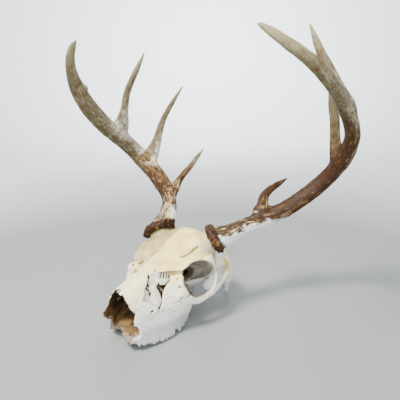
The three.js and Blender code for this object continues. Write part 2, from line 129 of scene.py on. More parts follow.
def outline_distance(u, v, points, closed=True):
    """Signed distance, on a flat grid of u by v, to an outline, negative inside."""
    ring = np.array(points, np.float32)
    if closed:
        ring = np.vstack([ring, ring[:1]])
    a, b = ring[:-1], ring[1:]
    pu, pv = u[:, None, None] - a[:, 0], v[None, :, None] - a[:, 1]
    du, dv = (b - a).T
    t = np.clip((pu * du + pv * dv) / np.maximum(du * du + dv * dv, 1e-6), 0, 1)
    away = np.sqrt(((pu - t * du) ** 2 + (pv - t * dv) ** 2).min(2))
    level = (a[:, 1] > v[:, None]) != (b[:, 1] > v[:, None])
    crossing = a[:, 0] + (v[:, None] - a[:, 1]) * du / np.where(dv == 0, 1, dv)
    inside = (level & (u[:, None, None] < crossing)).sum(2) % 2 == 1
    return np.where(inside, -away, away)


def profile_loft(block, stations, outline):
    """A skin over half rings across the skull: outline turns one row of values into x, z points."""
    x, y, z = block.axes
    first, last = stations[0][0], stations[-1][0]
    rows = through(np.clip(y, first, last), stations)
    field = np.full_like(block.field, 9)
    for j in np.flatnonzero((y > first - 3) & (y < last + 3)):
        half_ring = smooth_line(outline(*rows[j]), 5)
        flat = outline_distance(np.maximum(x, 0.01), z, half_ring, closed=False)
        field[:, j, :] = np.maximum(flat, max(first - y[j], y[j] - last))
    return field


# Muzzle to orbit: y, roof, crown half width and height, cheek half width and height,
# jaw half width and height, palate height.
FACE = [
    (-147, 60, 10, 57, 19.5, 35, 17, 12.5, 12),
    (-136, 62.5, 11, 59, 21, 35, 19, 12, 12),
    (-126, 65.5, 12.5, 61.5, 23, 36, 21, 11, 12),
    (-112, 69, 13.5, 64, 27, 35, 25, 9, 13),
    (-97, 73, 14.5, 68, 31, 34, 29, 8, 14),
    (-82, 77.5, 18, 72.5, 36, 35, 33, 8, 14.5),
    (-71, 80, 25, 75, 42, 42, 36, 9, 14.5),
    (-62, 83, 34, 77.5, 46.5, 50, 38, 10, 14.5),
    (-52, 85.5, 40, 79, 49, 46, 37, 12, 15),
    (-44, 87, 36, 79, 40, 46, 31, 15, 16),
]
# Roof over the orbits: y, crown, edge half width, edge height, thickness.
ROOF = [
    (-76, 78.5, 11, 75.5, 4),
    (-66, 81.5, 27, 77.5, 6),
    (-57, 84, 38, 79, 7.5),
    (-47, 87.3, 43.5, 82, 8),
    (-37, 91.8, 47.5, 84, 8.5),
    (-28, 95.2, 53, 80, 8.5),
    (-20, 97.8, 55, 77.5, 8.5),
    (-11, 100.3, 48, 82, 9),
    (-1, 102.6, 42, 87, 10),
    (9, 101.2, 37, 86, 10),
]


def face_outline(roof, crown, crown_z, cheek, cheek_z, jaw, jaw_z, palate):
    shoulder = ((crown + cheek) / 2 + 2, (crown_z + cheek_z) / 2 + 3)
    over = [(0, roof), (crown, crown_z), shoulder, (cheek, cheek_z)]
    return over + [(jaw, jaw_z), (jaw * 0.62, palate - 1), (0, palate)]


def roof_outline(crown, half, edge, thick):
    slope = (half * 0.55, (crown * 2 + edge) / 3 + 1.5)
    over = [(0, crown), slope, (half * 0.9, edge + 1), (half, edge - thick * 0.4)]
    return over + [(half * 0.9, edge - thick), (half * 0.5, edge - thick), (0, edge - thick)]


# One side only: the other is its mirror image until the breaks and the pedicles.
half_skull = Block((0, SKULL_LOW[1], SKULL_LOW[2]), SKULL_HIGH, CELL)
face = profile_loft(half_skull, FACE, face_outline)
roof = profile_loft(half_skull, ROOF, roof_outline)
half_skull.field = melt(face, roof, 3)


# ---- Nasal cavity and orbits ----
# The passage through the muzzle leaves walls of bone 2 to 3 mm thick. Each eye socket is a round
# cup cut right through to the wall between the eyes.
WALL = 2.2
# y, floor, greatest half width.
CAVITY = [
    (-145, 14.5, 40), (-126, 15.5, 40), (-112, 17.5, 40), (-97, 19, 40), (-82, 21, 30),
    (-71, 26, 27), (-62, 34, 16),
]
ORBIT_CENTRE = (60, -43.5, 61.3)
ORBIT_HALF = (42, 22.2, 22.3)


def oval_loft(block, stations, power):
    """A skin over rounded rings: y, top, bottom, half width; a higher power is squarer."""
    x, y, z = block.grid()
    first, last = stations[0][0], stations[-1][0]
    rows = through(np.clip(block.axes[1], first, last), stations)
    top, bottom, half = rows.T[:, None, :, None].astype(np.float32)
    up = z - (top + bottom) / 2
    reach = np.abs(x / half) ** power + np.abs(up / ((top - bottom) / 2)) ** power
    reach = np.maximum(reach, 1e-4) ** (1 / power)
    field = np.sqrt(x**2 + up**2) * (1 - 1 / reach)
    return np.maximum(field, np.maximum(first - y, y - last))


def ball(x, y, z, centre, half):
    """Distance to an ellipsoid."""
    u, v, w = x - centre[0], y - centre[1], z - centre[2]
    a, b, c = half
    k0 = np.sqrt((u / a) ** 2 + (v / b) ** 2 + (w / c) ** 2)
    k1 = np.sqrt((u / a**2) ** 2 + (v / b**2) ** 2 + (w / c**2) ** 2)
    return k0 * (k0 - 1) / np.maximum(k1, 1e-6)


every_x, every_y, every_z = half_skull.grid()
floor, reach = through(half_skull.axes[1], CAVITY).T[:, None, :, None].astype(np.float32)
cavity = carve(face + WALL, -np.maximum(floor - every_z, every_x - reach), 5)
cavity = np.maximum(cavity, every_y + 61)
orbit = ball(every_x, every_y, every_z, ORBIT_CENTRE, ORBIT_HALF)
half_skull.cut(cavity, 1)
half_skull.cut(orbit, 1.5)


# ---- Braincase, ear region and nape ----
# A rounded box of bone behind the eyes, on the narrow bar of the skull's base. Behind it stand the
# crest for the neck muscles, the ear tubes, the condyles and the two prongs that reach the table.
BRAIN = [
    (-66, 76, 34, 15), (-54, 81, 30, 17), (-40, 87, 34, 18), (-25, 92, 36, 22), (-12, 97.5, 36, 29),
    (0, 101.5, 34, 35), (14, 99, 31, 38.5), (28, 89.5, 27, 39), (40, 78, 24, 37.5),
    (50, 67, 24, 33), (57, 56, 26, 25),
]


def stretches(stations, up, steps):
    """The stretches of a smooth line: both ends, length, and the directions along, up and across."""
    line = smooth_line(stations, steps)
    for start, end in zip(line[:-1], line[1:]):
        along = end[:3] - start[:3]
        length = np.linalg.norm(along)
        along = along / length
        lift = np.array(up) - along * np.dot(up, along)
        lift = lift / np.linalg.norm(lift)
        yield start, end, length, along, lift, np.cross(along, lift)


def toward(x, y, z, way):
    """How far places lie along a direction."""
    return x * way[0] + y * way[1] + z * way[2]


def bar_distance(block, stations, up=(0, 0, 1), steps=4):
    """Distance to a tapering bar of oval section: x, y, z, half size along up, half size across."""
    field = np.full_like(block.field, 9)
    for start, end, length, along, lift, side in stretches(stations, up, steps):
        reach = max(start[3], start[4], end[3], end[4]) + 9
        low = np.minimum(start[:3], end[:3]) - reach
        high = np.maximum(start[:3], end[:3]) + reach
        cut, x, y, z = block.near(low, high)
        x, y, z = x - start[0], y - start[1], z - start[2]
        run = toward(x, y, z, along)
        t = np.clip(run, 0, length)
        a, b = (start[k] + (end[k] - start[k]) * t / length for k in (3, 4))
        u, v = toward(x, y, z, lift), toward(x, y, z, side)
        w = (run - t) / np.minimum(a, b)
        k0 = np.sqrt((u / a) ** 2 + (v / b) ** 2 + w * w)
        k1 = np.sqrt((u / a**2) ** 2 + (v / b**2) ** 2 + (w / np.minimum(a, b)) ** 2)
        field[cut] = np.minimum(field[cut], k0 * (k0 - 1) / np.maximum(k1, 1e-6))
    return field


def add_bar(block, stations, fillet, up=(0, 0, 1)):
    block.add(bar_distance(block, stations, up), fillet)


brain = carve(oval_loft(half_skull, BRAIN, 2.3), orbit, 2)
brain = np.maximum(brain, -60 - every_y)
half_skull.add(brain, 4)

BASE = [
    (0, -58, 32, 5, 6), (0, -30, 29, 6, 8), (0, 0, 27, 6, 10), (0, 30, 25, 6, 12),
    (0, 52, 26, 6, 13),
]
CREST = [(0, 52.5, 68, 4.4, 5), (14, 51, 66, 3.6, 4), (29, 47, 58, 4, 4), (37, 37, 47, 5, 4)]
MASTOID = [(34, 38, 50, 9, 7), (39, 42, 38, 8, 6), (37, 44, 26, 7, 6)]
PRONG = [
    (35, 42, 34, 9, 7), (35, 45, 26, 8.5, 6), (34.5, 47, 18, 7, 4), (32, 50, 9, 5, 2.8),
    (30, 52, 1.5, 2.6, 2),
]
EAR_TUBE = [(26, 26, 28, 6, 6), (36, 27, 33, 5, 5), (43, 28, 38, 4, 4)]
PTERYGOID = [
    (17, -50, 30, 2, 12), (17, -38, 32, 1.6, 12), (16, -28, 32, 1.4, 10), (15, -19, 31, 1.4, 5),
]
add_bar(half_skull, BASE, 6)
add_bar(half_skull, CREST, 7)
add_bar(half_skull, MASTOID, 5, (0, 1, 0))
add_bar(half_skull, PRONG, 4, (0, 1, 0))
add_bar(half_skull, EAR_TUBE, 4)
add_bar(half_skull, PTERYGOID, 3, (1, 0, 0))
for centre, half, fillet in [((12.5, 57, 31), (9.5, 8.5, 11), 4), ((21, 20, 21), (7, 11, 8), 3)]:
    half_skull.add(ball(every_x, every_y, every_z, centre, half), fillet)


# ---- Arches and socket rims ----
# The cheek bone runs back from under the eye as a slim arch, and a bar stands up from it behind
# the eye. Together they close the round rim, which stands proud as a narrow lip.
ARCH = [
    (42.5, -67, 51, 6, 3.4), (46.5, -59, 42.5, 7, 4), (50.5, -48, 36.5, 5.2, 3.6),
    (55, -35, 37.5, 4, 2.6), (57.5, -20, 41, 3.8, 2.2), (57.5, -3, 45.5, 3.8, 2),
    (55, 12, 50, 4, 2.4), (48, 24, 53, 5, 4), (36, 29, 54, 7, 6),
]
BEHIND_EYE = [
    (56.5, -27, 38, 2.4, 3.2), (58, -23, 47, 1.8, 3), (58, -21.5, 60, 1.8, 3),
    (56, -22.5, 71, 2.4, 4.2), (51, -24, 80, 4.5, 7),
]
RIM = [
    (37, -61, 73.5, 2, 2), (41, -67, 65, 1.8, 1.8), (45, -65.8, 52.5, 1.8, 1.8),
    (51.5, -50, 39, 1.8, 1.8), (55.5, -35, 38.5, 1.8, 1.8), (57.5, -25, 46, 1.6, 1.6),
    (57, -23, 60, 1.6, 1.6), (54, -26, 74, 1.8, 1.8), (46, -39, 82, 2, 2), (39.5, -51, 79.5, 2, 2),
    (37, -61, 73.5, 2, 2),
]
add_bar(half_skull, ARCH, 3)
add_bar(half_skull, BEHIND_EYE, 3, (1, 0, 0))
add_bar(half_skull, RIM, 2.5)
half_skull.cut(orbit - 0.4, 0.8)


# ---- Cheek teeth ----
# The jaw's lower edge is a thin wall of bone outside and inside the row, ragged where the front
# teeth broke away. Behind, the worn crescents of the molars stand down from it as sharp points.
# Rows: y, middle of the row, lower edge of the jaw.
TOOTH_ROW = [
    (-126, 20, 5), (-121, 22.5, 4), (-108, 27.5, 2), (-95, 31, 0), (-81, 33, 0), (-68, 33, 0),
    (-55, 29.5, 1.5),
]
FIRST_MOLAR = -80
CHIP_LENGTH, CHIP_SPACING = 4.6, 5.6
CUSP_LENGTH, CUSP_SPACING = 11, 4.8
LEAN = 0.32
row_x, row_z = through(half_skull.axes[1], TOOTH_ROW).T[:, None, :, None].astype(np.float32)
row_y = half_skull.axes[1][None, :, None]
row_half = np.clip(3.6 + (row_y + 121) * 0.035, 3.4, 5.6)
off_row = every_x - row_x
chance = np.random.default_rng(3).uniform(0, 1, 80)


def points_along(y, spacing, shift):
    """A row of points like saw teeth: 0 at each tip, up to about 1 between, no two alike."""
    place = (y + 200 + 1.3 * np.sin(y * 0.61 + shift) + 0.9 * np.sin(y * 0.23)) / spacing + shift
    tip = np.floor(place).astype(int)
    between = np.abs(place - tip - 0.5) * 2
    return between * (0.35 + 0.65 * chance[tip % 80]) + 0.35 * chance[(tip + 7) % 80]


for side, shift in ((1, 0.2), (-1, 0.65)):
    lean = LEAN * np.maximum(every_z - row_z - 5, 0)
    wall = np.abs(off_row - side * (row_half - lean)) - 1.4
    chips = CHIP_LENGTH * points_along(row_y, CHIP_SPACING, shift)
    cusps = CUSP_LENGTH * points_along(row_y, CUSP_SPACING, shift)
    edge = row_z + np.where(row_y < FIRST_MOLAR, chips, cusps)
    top, fillet = (29, 5) if side == 1 else (19, 1)
    wall = np.maximum(wall + 0.1 * np.maximum(4 - every_z, 0), edge - every_z)
    wall = np.maximum(wall, np.maximum(every_z - top, np.maximum(-125 - row_y, row_y + 48)))
    half_skull.add(wall, fillet)
core = np.maximum(np.abs(off_row) - (row_half - lean), np.maximum(row_z + 8.5 - every_z, every_z - 19))
core = np.maximum(core, np.maximum(-123 - row_y, row_y + 50))
half_skull.add(core, 1.5)


# ---- Windows, pits and channels ----
# Openings in each side of the nose, the ring of small holes for nerves and vessels, the shallow
# pit in front of the eye, the ear hole and the great hole for the spinal cord.
WINDOW = [
    (-112, 54), (-107, 59.5), (-101.5, 64), (-95, 69), (-88, 74), (-66, 75), (-57, 75.5),
    (-62, 70.5), (-76, 63), (-85, 54), (-90, 43), (-94, 38.5), (-98, 45), (-105, 49),
]
window = outline_distance(half_skull.axes[1], half_skull.axes[2], WINDOW)[None]
half_skull.cut(np.maximum(window, 8.5 - every_x), 0.8)


def drill(block, point, direction, radius, depth, fillet=0.8):
    """A round hole that narrows as it goes in."""
    way = np.array(direction, float)
    way = way / np.linalg.norm(way)
    start = np.array(point) - way * 2
    end = np.array(point) + way * depth
    up = (0, 0, 1) if abs(way[2]) < 0.9 else (1, 0, 0)
    bore = bar_distance(block, [(*start, radius, radius), (*end, radius * 0.7, radius * 0.7)], up, 1)
    block.cut(bore, fillet)


INWARD = (-0.9, 0.4, 0)
HOLES = [
    ((27.6, -105.3, 39.7), (-0.4, 0.9, 0.1), 1.3, 7),
    ((36.5, -69.8, 66.4), (-0.5, 0.85, -0.1), 2.1, 7),
    ((39.8, -69.8, 58), (-0.5, 0.85, -0.1), 1.8, 6),
    ((43.6, -69.2, 52.4), (-0.5, 0.85, -0.1), 1.0, 4),
    ((43.1, -70, 45.8), (-0.5, 0.85, 0), 0.9, 3),
    ((40.3, -71.6, 42.3), (-0.5, 0.85, 0), 0.8, 3),
    ((41.3, -57.3, 71.8), (-0.56, 0.79, -0.235), 5.4, 32),
    ((32.8, -100.4, 7.1), INWARD, 1.1, 3),
    ((32.4, -86.6, 3), INWARD, 0.8, 3),
    ((26.3, -115.5, 26.4), INWARD, 0.7, 2),
    ((21.4, -122.2, 48.1), INWARD, 0.8, 1.5),
    ((44.5, 28, 38.5), (-1, 0, -0.2), 2.2, 9),
    ((22, -31, 57), (-1, 0.35, -0.1), 4.6, 9),
    ((20, -22, 46), (-1, 0.5, -0.1), 2.4, 9),
    ((40, 40, 58), (-1, -0.3, 0), 0.9, 4),
]
for point, direction, radius, depth in HOLES:
    drill(half_skull, point, direction, radius, depth)
BROW_PITS = [
    (27.7, -48.9, 86.2, 1.5), (30.4, -45, 87, 1.8), (32.8, -40.1, 88, 1.5), (31.9, -31, 90, 1.8),
    (30.1, -26.9, 91.5, 1.2), (34.7, -25.4, 92.8, 1.4),
]
for x, y, z, radius in BROW_PITS:
    drill(half_skull, (x, y, z), (0, 0.2, -1), radius, 5, 0.4)
for centre, half in [
    ((46, -81, 57.5), (12.5, 12.5, 13)),
    ((0, 60, 33), (8, 13, 8.5)),
    ((0, -48, 12), (11, 24, 12)),
]:
    half_skull.cut(ball(every_x, every_y, every_z, centre, half), 2)
BROW_GROOVE = [(31, -43, 88, 1.6, 1.2), (33, -30, 91, 1.6, 1.2), (34, -18, 95, 1.2, 1)]
half_skull.cut(bar_distance(half_skull, BROW_GROOVE), 1.2)


# ---- Whole skull: pedicles, broken muzzle, level underside ----
# Here the two sides part company: each antler has its own pedicle, and the muzzle is snapped off
# along a ragged line of its own on each side.
skull = Block(SKULL_LOW, SKULL_HIGH, CELL)
skull.field = np.concatenate([half_skull.field[:0:-1], half_skull.field])
cavity = np.concatenate([cavity[:0:-1], cavity])
orbit = np.concatenate([orbit[:0:-1], orbit])
all_x, all_y, all_z = skull.grid()


def grain(block, size, seed):
    """Smooth random swells over the block's cells, about -1 to 1, one for each size in mm."""
    rng = np.random.default_rng(seed)
    shape = [int((axis[-1] - axis[0]) / size) + 3 for axis in block.axes]
    field = rng.uniform(-1, 1, shape).astype(np.float32)
    for k, axis in enumerate(block.axes):
        place = (axis - axis[0]) / size
        i = place.astype(int)
        t = place - i
        t = t * t * (3 - 2 * t)
        t = t.reshape([-1 if n == k else 1 for n in range(3)]).astype(np.float32)
        field = np.take(field, i, k) * (1 - t) + np.take(field, i + 1, k) * t
    return field


LEFT_BURR = {"centre": (43, 1, 98), "axis": (0.7, 0.5, 0.51), "radius": 19.5}
RIGHT_BURR = {"centre": (-48, 1, 94), "axis": (-0.58, 0.32, 0.75), "radius": 22.5}
PEDICLE_RADIUS = 14.2
BURR_HEIGHT = 11
BURR_LIP = 4.5
for burr in (LEFT_BURR, RIGHT_BURR):
    axis = np.array(burr["axis"]) / np.linalg.norm(burr["axis"])
    centre = np.array(burr["centre"])
    stations = []
    for height, factor in [(-26, 1.35), (-15, 1.1), (-BURR_HEIGHT / 2 - 1, 1)]:
        radius = PEDICLE_RADIUS * factor
        stations.append((*(centre + axis * height), radius, radius))
    stem = bar_distance(skull, stations, (0, 1, 0))
    height = toward(all_x - centre[0], all_y - centre[1], all_z - centre[2], axis)
    stem = np.maximum(stem, height + BURR_HEIGHT / 2)
    skull.add(stem, 5)

LEFT_BREAK = [
    (-150, 80), (-128, 70), (-125.5, 65), (-130, 58), (-127, 49), (-124.5, 45), (-126, 40),
    (-127.5, 33.5), (-121.5, 24), (-121.5, 18.5), (-130, 13), (-131, 5), (-150, 0),
]
RIGHT_BREAK = [
    (-150, 80), (-125, 69), (-119, 61), (-123, 52), (-126, 44), (-134, 37), (-132, 31), (-124, 22),
    (-120, 15), (-118, 9), (-116, 0), (-150, -5),
]
FLOOR_BREAK = [
    (-60, -160), (-40, -113), (-23, -119.5), (-9, -123), (5, -128), (19, -132.5), (60, -160),
]
CHIPPED_BELOW = 26
ragged = grain(skull, 1.8, 5) * 1.1 + grain(skull, 5, 6) * 1.1
for outline, side in [(LEFT_BREAK, 1), (RIGHT_BREAK, -1)]:
    snapped = outline_distance(skull.axes[1], skull.axes[2], outline)[None]
    snapped = np.maximum(snapped + ragged, -side * all_x)
    skull.field = np.maximum(skull.field, -snapped)
chipped = outline_distance(skull.axes[0], skull.axes[1], FLOOR_BREAK)[:, :, None]
skull.field = np.maximum(skull.field, -np.maximum(chipped + 0.5 * ragged, all_z - CHIPPED_BELOW))
# The forehead: a ridge winds back along the middle, with a shallow trough on each side of it.
RIDGE = [
    (-7, -76, 78, 2, 2), (-5, -58, 84, 2, 2), (-4.5, -46, 88, 2, 2), (-8, -30, 94, 2, 2),
    (-8, -17, 97.5, 2, 2), (-8, 3, 102, 2, 2),
]
TROUGHS = [
    ([(-15, -74, 79, 2, 2), (-18, -55, 84, 2, 2), (-20, -35, 90, 2, 2), (-19, -12, 97, 2, 2)], 3.2),
    ([(14, -66, 81, 2, 2), (15, -45, 88, 2, 2), (14, -25, 94, 2, 2)], 1.5),
]
TROUGH_REACH = 9
RIDGE_HEIGHT, RIDGE_REACH = 1.1, 4
for stations, sunk in TROUGHS:
    skull.field += sunk * np.clip(1 - bar_distance(skull, stations) / TROUGH_REACH, 0, 1) ** 2
skull.field -= RIDGE_HEIGHT * np.clip(1 - bar_distance(skull, RIDGE) / RIDGE_REACH, 0, 1) ** 2
drill(skull, (24.2, -123.4, 18), (-1, 0.25, -0.1), 2.6, 9)
drill(skull, (18.5, -130, 16.5), (-0.6, 0.8, 0), 1.8, 7)
skull.field += 0.22 * grain(skull, 9, 7) + 0.12 * grain(skull, 3, 8)
TABLE_GAP = 0.05
skull.field = np.maximum(skull.field, TABLE_GAP - all_z)


# ---- Bones of the skull ----
# The plates of the skull, each its own piece: dry, matt, degreased bone. Cream on the roof where
# the skin lay, bleached white on the jaws and arches, with toothed seams between.
BONE_IOR = 1.5
SEAM = 0.03
LEFT_HALF = [(0, -160), (90, -160), (90, 110), (0, 110)]
NASAL_SIDE = [
    (-160, 53), (-112, 54), (-104, 61), (-98, 66), (-84, 71), (-66, 71), (-66, 120), (-160, 120),
]
NASAL_PLAN = [(0, -160), (18, -160), (17.5, -112), (14.5, -96), (13.5, -84), (9, -75), (0, -71)]
FRONTAL_SIDE = [
    (-78, 70), (-60, 70), (-46, 66), (-24, 67), (-14, 64), (26, 64), (40, 120), (-78, 120),
]
FRONTAL_PLAN = [(0, -80), (90, -80), (90, 40), (40, 27), (24, 14), (12, 3), (0, -1)]
LACRIMAL_SIDE = [(-96, 38), (-72, 43), (-60, 50), (-54, 62), (-52, 71), (-78, 71), (-96, 60)]
ZYGOMATIC_SIDE = [
    (-98, 37.5), (-72, 42.5), (-60, 49.5), (-50, 62), (-12, 67), (4, 60), (16, 62), (16, 30),
    (-30, 22), (-44, 26), (-62, 28), (-80, 25), (-92, 30),
]
OUTER_PLAN = [(24, -160), (90, -160), (90, 110), (40.5, 110), (40.5, -20), (24, -45)]
MAXILLA_SIDE = [(-160, -20), (-43, -20), (-43, 90), (-160, 90)]
PALATE_SIDE = [(-100, -10), (-30, -10), (-30, 24), (-100, 24)]
PALATE_PLAN = [(-24, -78), (-13, -84), (0, -86), (13, -84), (24, -78), (21, -40), (-21, -40)]
SPHENOID_SIDE = [(-80, 5), (-9, 5), (-9, 40), (-18, 60), (-80, 72)]
SPHENOID_PLAN = [(-40, -80), (40, -80), (40, 20), (-40, 20)]
OCCIPITAL_SIDE = [(37, -20), (37, 22), (46, 30), (47.5, 60), (60, 120), (110, 120), (110, -20)]
WHOLE_PLAN = [(-90, -160), (90, -160), (90, 120), (-90, 120)]
waver = 0.9 * grain(skull, 2.6, 9) + 1.2 * grain(skull, 7, 10)
bones = []


def zone(side, plan, mirrored):
    """Distance to the room a bone takes: an outline seen from the side and one seen from above."""
    x, y, z = skull.axes
    seen_side = outline_distance(y, z, side)[None]
    seen_above = outline_distance(-x if mirrored else x, y, plan)[:, :, None]
    return np.maximum(seen_side, seen_above) + waver


def largest_shell(count, faces):
    """The faces of the biggest of the separate shells."""
    label = np.arange(count)
    while True:
        low = label[faces].min(1)
        new = label.copy()
        np.minimum.at(new, faces.ravel(), np.repeat(low, faces.shape[1]))
        new = new[new]
        if (new == label).all():
            break
        label = new
    names, counts = np.unique(label[faces[:, 0]], return_counts=True)
    return faces[label[faces[:, 0]] == names[counts.argmax()]]


def skin(name, block, field, loose=False):
    """A mesh over the zero surface of a field on the block's cells, with its points in mm."""
    solid = np.argwhere(field < block.cell * 2)
    low = np.maximum(solid.min(0) - 2, 0)
    high = np.minimum(solid.max(0) + 3, field.shape)
    room = field[low[0] : high[0], low[1] : high[1], low[2] : high[2]] / block.cell
    grid = openvdb.FloatGrid(3.0)
    grid.copyFromArray(np.ascontiguousarray(np.clip(room, -3, 3), np.float32))
    points, faces = grid.convertToQuads()
    faces = faces.astype(np.int64)
    if not loose:
        faces = largest_shell(len(points), faces)
    used, faces = np.unique(faces, return_inverse=True)
    faces = faces.reshape(-1, 4)
    start = np.array([axis[k] for axis, k in zip(block.axes, low)])
    points = points[used] * block.cell + start
    mesh = bpy.data.meshes.new(name)
    mesh.vertices.add(len(points))
    mesh.vertices.foreach_set("co", (points * MM).astype(np.float32).ravel())
    mesh.loops.add(faces.size)
    mesh.loops.foreach_set("vertex_index", faces.astype(np.int32).ravel())
    mesh.polygons.add(len(faces))
    mesh.polygons.foreach_set("loop_start", np.arange(0, faces.size, 4, dtype=np.int32))
    mesh.update()
    mesh.shade_smooth()
    piece = bpy.data.objects.new(name, mesh)
    bpy.context.scene.collection.objects.link(piece)
    return piece, points


rest = skull.field


def part_off(node, side, plan, mirrored=False):
    """Takes one bone out of the skull along its seams."""
    global rest
    room = zone(side, plan, mirrored)
    bones.append((node, *skin(node + "_bone", skull, np.maximum(rest, room + SEAM))))
    rest = np.maximum(rest, SEAM - room)


for mirrored in (False, True):
    end = "_right" if mirrored else "_left"
    part_off("nasal" + end, NASAL_SIDE, NASAL_PLAN, mirrored)
    part_off("frontal" + end, FRONTAL_SIDE, FRONTAL_PLAN, mirrored)
    part_off("zygomatic" + end, ZYGOMATIC_SIDE, OUTER_PLAN, mirrored)
    part_off("lacrimal" + end, LACRIMAL_SIDE, OUTER_PLAN, mirrored)
part_off("palate", PALATE_SIDE, PALATE_PLAN)
part_off("maxilla_left", MAXILLA_SIDE, LEFT_HALF)
part_off("maxilla_right", MAXILLA_SIDE, LEFT_HALF, True)
part_off("sphenoid", SPHENOID_SIDE, SPHENOID_PLAN)
part_off("occipital", OCCIPITAL_SIDE, WHOLE_PLAN)
bones.append(("braincase", *skin("braincase_bone", skull, rest)))


def between_cells(table, cell, part):
    """Values of a table of cells between its points; past its end it starts again."""
    total = 0
    for corner in np.ndindex(2, 2, 2):
        weight = np.prod(np.where(corner, part, 1 - part), axis=1)
        total = total + weight * table[tuple(((cell + corner) % table.shape).T)]
    return total


def read_field(block, field, points):
    """A field's values at points in mm."""
    place = (points - [axis[0] for axis in block.axes]) / block.cell
    cell = np.clip(place.astype(int), 0, np.array(field.shape) - 2)
    return between_cells(field, cell, place - cell)


def ramp(value, low, high):
    """0 below low, 1 above high, smooth between; the other way round when high is below low."""
    t = np.clip((value - low) / (high - low), 0, 1)
    return t * t * (3 - 2 * t)


def swell(points, size, seed):
    """Smooth random values at points, -1 to 1, with swells of that size in mm."""
    table = np.random.default_rng(seed).uniform(-1, 1, (64, 64, 64))
    place = points / size
    cell = np.floor(place).astype(int)
    t = place - cell
    return between_cells(table, cell, t * t * (3 - 2 * t))


def near_line(points, line, width):
    """1 on a drawn line, falling to 0 at that distance from it."""
    away = np.full(len(points), 99.0)
    line = np.array(line, float)
    for a, b in zip(line[:-1], line[1:]):
        t = np.clip((points - a) @ (b - a) / ((b - a) @ (b - a)), 0, 1)
        away = np.minimum(away, np.linalg.norm(points - a - t[:, None] * (b - a), axis=1))
    return ramp(away, width, width * 0.35)


def mark(mesh, **marks):
    """Stores values from 0 to 1 for the points of the mesh, which the material reads by name."""
    for name, values in marks.items():
        layer = mesh.attributes.new(name, "FLOAT", "POINT")
        layer.data.foreach_set("value", np.clip(values, 0, 1).astype(np.float32))


def tone(code):
    """An sRGB hex colour as the linear colour that a socket takes."""
    parts = [int(code[k : k + 2], 16) / 255 for k in (1, 3, 5)]
    return [c / 12.92 if c <= 0.04045 else ((c + 0.055) / 1.055) ** 2.4 for c in parts] + [1]


def add_node(material, kind, out=0, **values):
    """Adds a shader node and gives one of its outputs. Lower-case words are settings, the others are
    inputs, and A6 is input number 6."""
    node = material.node_tree.nodes.new("ShaderNode" + kind)
    for key, value in values.items():
        numbered = key[0] == "A" and key[1:].isdigit()
        if key[0].islower():
            setattr(node, key, value)
            continue
        socket = node.inputs[int(key[1:]) if numbered else key.replace("_", " ")]
        if isinstance(value, bpy.types.NodeSocket):
            material.node_tree.links.new(value, socket)
        else:
            socket.default_value = value
    return node.outputs[out] if node.outputs else node


def new_material(name):
    material = bpy.data.materials.new(name)
    material.use_nodes = True
    material.node_tree.nodes.clear()
    return material


def lay_colour(material, colour, where, over, way="MIX"):
    """A colour with another laid over it where a pattern, or the mark of that name, is strong."""
    if isinstance(where, str):
        where = add_node(material, "Attribute", "Fac", attribute_name=where)
    return add_node(material, "Mix", 2, data_type="RGBA", blend_type=way, A0=where, A6=colour, A7=over)


def mottle(material, size, detail, low, high):
    """Cloudy blotches of about that size in mm, as a factor that runs from 0 to 1 between two levels."""
    place = add_node(material, "TexCoord", "Object")
    noise = add_node(material, "TexNoise", "Fac", Vector=place, Scale=1 / (size * MM), Detail=detail)
    return add_node(material, "MapRange", A0=noise, A1=low, A2=high)


def finish_surface(material, colour, roughness, bump, height, gloss=BONE_IOR):
    """The shader itself: colour and fine relief in, surface out."""
    relief = add_node(material, "Bump", Strength=bump, Distance=0.4 * MM, Height=height)
    made = {"Base_Color": colour, "Roughness": roughness, "IOR": gloss, "Normal": relief}
    add_node(material, "OutputMaterial", Surface=add_node(material, "BsdfPrincipled", **made))


# Degreased bone, whitened: a dry, slightly chalky surface with fine pores, ivory where fat stayed in
# it and brown with old tissue inside the nose. Painted shade greys the eye sockets, which also have
# some stain, and the low jaw. It also darkens the nose further in, and adds to the stain that tans
# the right half of the forehead.
bone = new_material("dry whitened bone")
colour = lay_colour(bone, tone("#f8f7f3"), "warm", tone("#f3dd8e"))
# Tan: stain near the burrs and on the roof; on the forehead's right half it is partly painted shade.
colour = lay_colour(bone, colour, "tan", tone("#a39468"))
colour = lay_colour(bone, colour, mottle(bone, 14, 4, 0.42, 0.72), tone("#ebe2d0"), "MULTIPLY")
colour = lay_colour(bone, colour, mottle(bone, 3, 3, 0.62, 0.74), tone("#d9cdb6"), "MULTIPLY")
# Painted shade: grey low on the jaw, where it faces down towards the table.
colour = lay_colour(bone, colour, "grime", tone("#a3a8a5"))
# Grey-brown in the eye sockets: part stain, part painted shade under the roof of the socket.
colour = lay_colour(bone, colour, "socket", tone("#5b4d3a"))
inner = lay_colour(bone, tone("#6e5532"), mottle(bone, 7, 4, 0.4, 0.65), tone("#4c3419"))
# Painted shade: the deep mark darkens the back of the nose and the recess behind the eye.
inner = lay_colour(bone, inner, "deep", tone("#2a1a08"))
colour = lay_colour(bone, colour, "inside", inner)
colour = lay_colour(bone, colour, "line", tone("#2f1e0e"))
finish_surface(bone, colour, 0.55, 0.2, mottle(bone, 1.6, 2, 0.35, 0.7))

